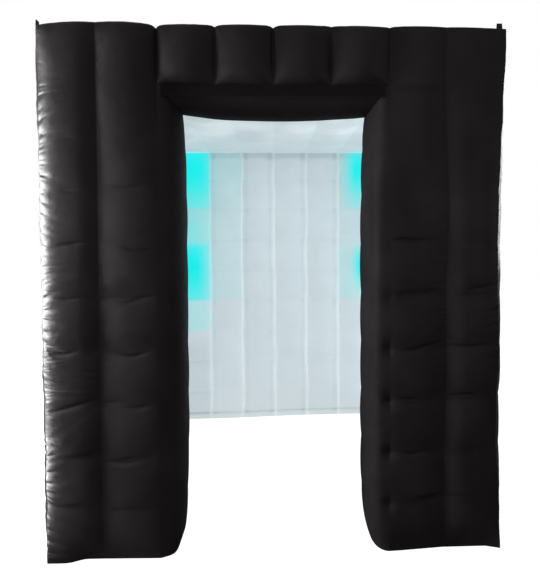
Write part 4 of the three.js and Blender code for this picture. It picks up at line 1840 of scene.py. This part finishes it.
@dataclass(frozen=True)
class Studio:
    """The floor, the light and the camera."""

    sight: Sight = Sight()
    sensor: float = 36.0
    floor_half: float = 14.0
    floor_drop: float = 0.0005
    floor_white: float = 1.05
    surroundings: float = 0.45

    def camera(self) -> None:
        """Sets the camera where the photograph was taken from."""
        data = bpy.data.cameras.new("camera")
        width, height = self.sight.picture
        data.sensor_width = self.sensor
        data.lens = self.sight.focal * self.sensor / height
        data.shift_x = (width / 2.0 - self.sight.centre[0]) / height
        data.shift_y = (self.sight.centre[1] - height / 2.0) / height
        across, upward, ahead = self.sight.axes()
        turn = Matrix((across, upward, -ahead)).transposed()
        camera = bpy.data.objects.new("camera", data)
        camera.matrix_world = Matrix.Translation(self.sight.eye) @ turn.to_4x4()
        bpy.context.scene.collection.objects.link(camera)
        bpy.context.scene.camera = camera

    def floor(self) -> None:
        """Lays the pale floor."""
        half = self.floor_half
        mesh = bpy.data.meshes.new("floor")
        corners = [(-half, -half, 0.0), (half, -half, 0.0), (half, half, 0.0), (-half, half, 0.0)]
        mesh.from_pydata(corners, [], [(0, 1, 2, 3)])
        floor = bpy.data.objects.new("floor", mesh)
        floor.location.z = -self.floor_drop
        bench = Bench("pale_floor")
        seen = bench.add("ShaderNodeLightPath").outputs["Is Camera Ray"]
        bench.feed(bench.shader, {
            "Base Color": (0.1, 0.1, 0.1, 1.0),
            "Roughness": 0.9,
            "Specular IOR Level": 0.1,
            "Emission Color": (1.0, 1.0, 1.0, 1.0),
            "Emission Strength": bench.math("MULTIPLY", seen, self.floor_white),
        })
        mesh.materials.append(bench.material)
        bpy.context.scene.collection.objects.link(floor)

    def lamp(self, name: str, at: Triple, towards: Triple, size: Pair, power: float, colour: Triple,
             spared: tuple[str, ...] = ()) -> None:
        """Adds a soft light.

        Args:
            name: Its name.
            at: Where it stands.
            towards: What it is turned to.
            size: Its width and height.
            power: Its power in watts.
            colour: Its colour.
            spared: Pieces that its light is kept off, as by a flag.
        """
        data = bpy.data.lights.new(name, "AREA")
        data.shape = "RECTANGLE"
        data.size, data.size_y = size
        data.energy = power
        data.color = colour
        light = bpy.data.objects.new(name, data)
        light.location = at
        light.rotation_euler = (Vector(towards) - Vector(at)).to_track_quat("-Z", "Y").to_euler()
        light.visible_camera = False
        bpy.context.scene.collection.objects.link(light)
        if spared:
            light.light_linking.receiver_collection = bpy.data.collections.new(f"{name}_flag")
            for node in spared:
                light.light_linking.receiver_collection.objects.link(bpy.data.objects[f"{node}_cloth"])
            for piece in light.light_linking.receiver_collection.collection_objects:
                piece.light_linking.link_state = "EXCLUDE"

    def light(self) -> None:
        """Sets the soft light: a window on the left, a weak fill, and light in the room."""
        side = ("left_side_panel",)
        sky = (0.95, 0.98, 1.0)
        self.lamp("left_wall", (-3.6, -0.9, 1.3), (-1.0, -0.9, 1.2), (1.6, 1.9), 260.0, sky, side)
        self.lamp("left_window", (-3.5, -1.35, 1.5), (-0.7, -1.0, 1.2), (0.9, 2.0), 170.0,
                  (0.98, 0.98, 1.0), side)
        self.lamp("left_high", (-3.6, -1.8, 3.0), (-0.6, -1.0, 1.9), (1.2, 1.0), 42.0, (1.0, 0.97, 0.94))
        self.lamp("left_rim", (-5.0, 0.2, 1.1), (-1.0, 0.0, 1.0), (3.0, 2.8), 190.0, sky, side)
        self.lamp("left_edge", (-4.6, 1.0, 1.2), (-1.0, -0.8, 1.2), (3.0, 2.8), 190.0, (0.96, 0.98, 1.0))
        self.lamp("left_back", (-3.3, 3.4, 1.25), (-1.05, -1.05, 1.25), (1.8, 2.6), 60.0, (0.97, 0.98, 1.0))
        self.lamp("left_floor", (-1.75, -0.85, 0.02), (-1.45, -0.85, 1.0), (0.8, 0.9), 48.0, sky, side)
        self.lamp("left_front", (-3.6, -4.2, 1.7), (0.0, -1.0, 1.4), (2.0, 1.6), 44.0, (1.0, 0.96, 0.97))
        self.lamp("front_low", (0.0, -5.5, 0.5), (0.0, -1.0, 0.8), (3.0, 0.8), 13.0, (1.0, 0.93, 0.94))
        self.lamp("front_high", (0.0, -5.5, 4.0), (0.0, -1.0, 1.6), (3.0, 1.5), 5.0, (1.0, 0.93, 0.9))
        self.lamp("right_front", (3.6, -4.2, 1.8), (0.3, -1.0, 1.3), (2.0, 2.0), 10.0, (1.0, 0.9, 0.84))
        self.lamp("right_fill", (5.0, 3.6, 2.6), (1.0, 0.4, 1.2), (3.0, 3.0), 130.0, (1.0, 0.98, 0.97),
                  ("front_right_panel", "right_jamb_roll"))
        self.lamp("back_fill", (0.5, 6.0, 3.2), (0.0, 1.0, 1.2), (4.0, 3.0), 60.0, (1.0, 1.0, 1.0))
        self.lamp("room", (0.0, -0.2, 2.05), (0.0, 0.25, 0.0), (1.1, 0.9), 3.0, sky)

    def world(self) -> None:
        """Sets the white surroundings, which light the booth only a little."""
        world = bpy.data.worlds.new("surroundings")
        world.use_nodes = True
        tree = world.node_tree
        seen = tree.nodes["Background"]
        seen.inputs["Color"].default_value = (1.0, 1.0, 1.0, 1.0)
        seen.inputs["Strength"].default_value = 1.0
        dim = tree.nodes.new("ShaderNodeBackground")
        dim.inputs["Color"].default_value = (0.97, 0.98, 1.0, 1.0)
        dim.inputs["Strength"].default_value = self.surroundings
        path = tree.nodes.new("ShaderNodeLightPath")
        mix = tree.nodes.new("ShaderNodeMixShader")
        tree.links.new(path.outputs["Is Camera Ray"], mix.inputs[0])
        tree.links.new(dim.outputs[0], mix.inputs[1])
        tree.links.new(seen.outputs[0], mix.inputs[2])
        tree.links.new(mix.outputs[0], tree.nodes["World Output"].inputs["Surface"])
        bpy.context.scene.world = world

    def build(self) -> None:
        """Sets up everything that isn't the booth."""
        self.camera()
        self.floor()
        self.light()
        self.world()
        bpy.context.scene.view_settings.view_transform = "Standard"


def main() -> None:
    """Builds the booth and its studio; each piece logs how many points it has."""
    logging.basicConfig(level=logging.INFO, format="%(name)s %(message)s")
    Booth().build()
    Studio().build()
    bpy.context.view_layer.update()


if __name__ == "__main__":
    main()
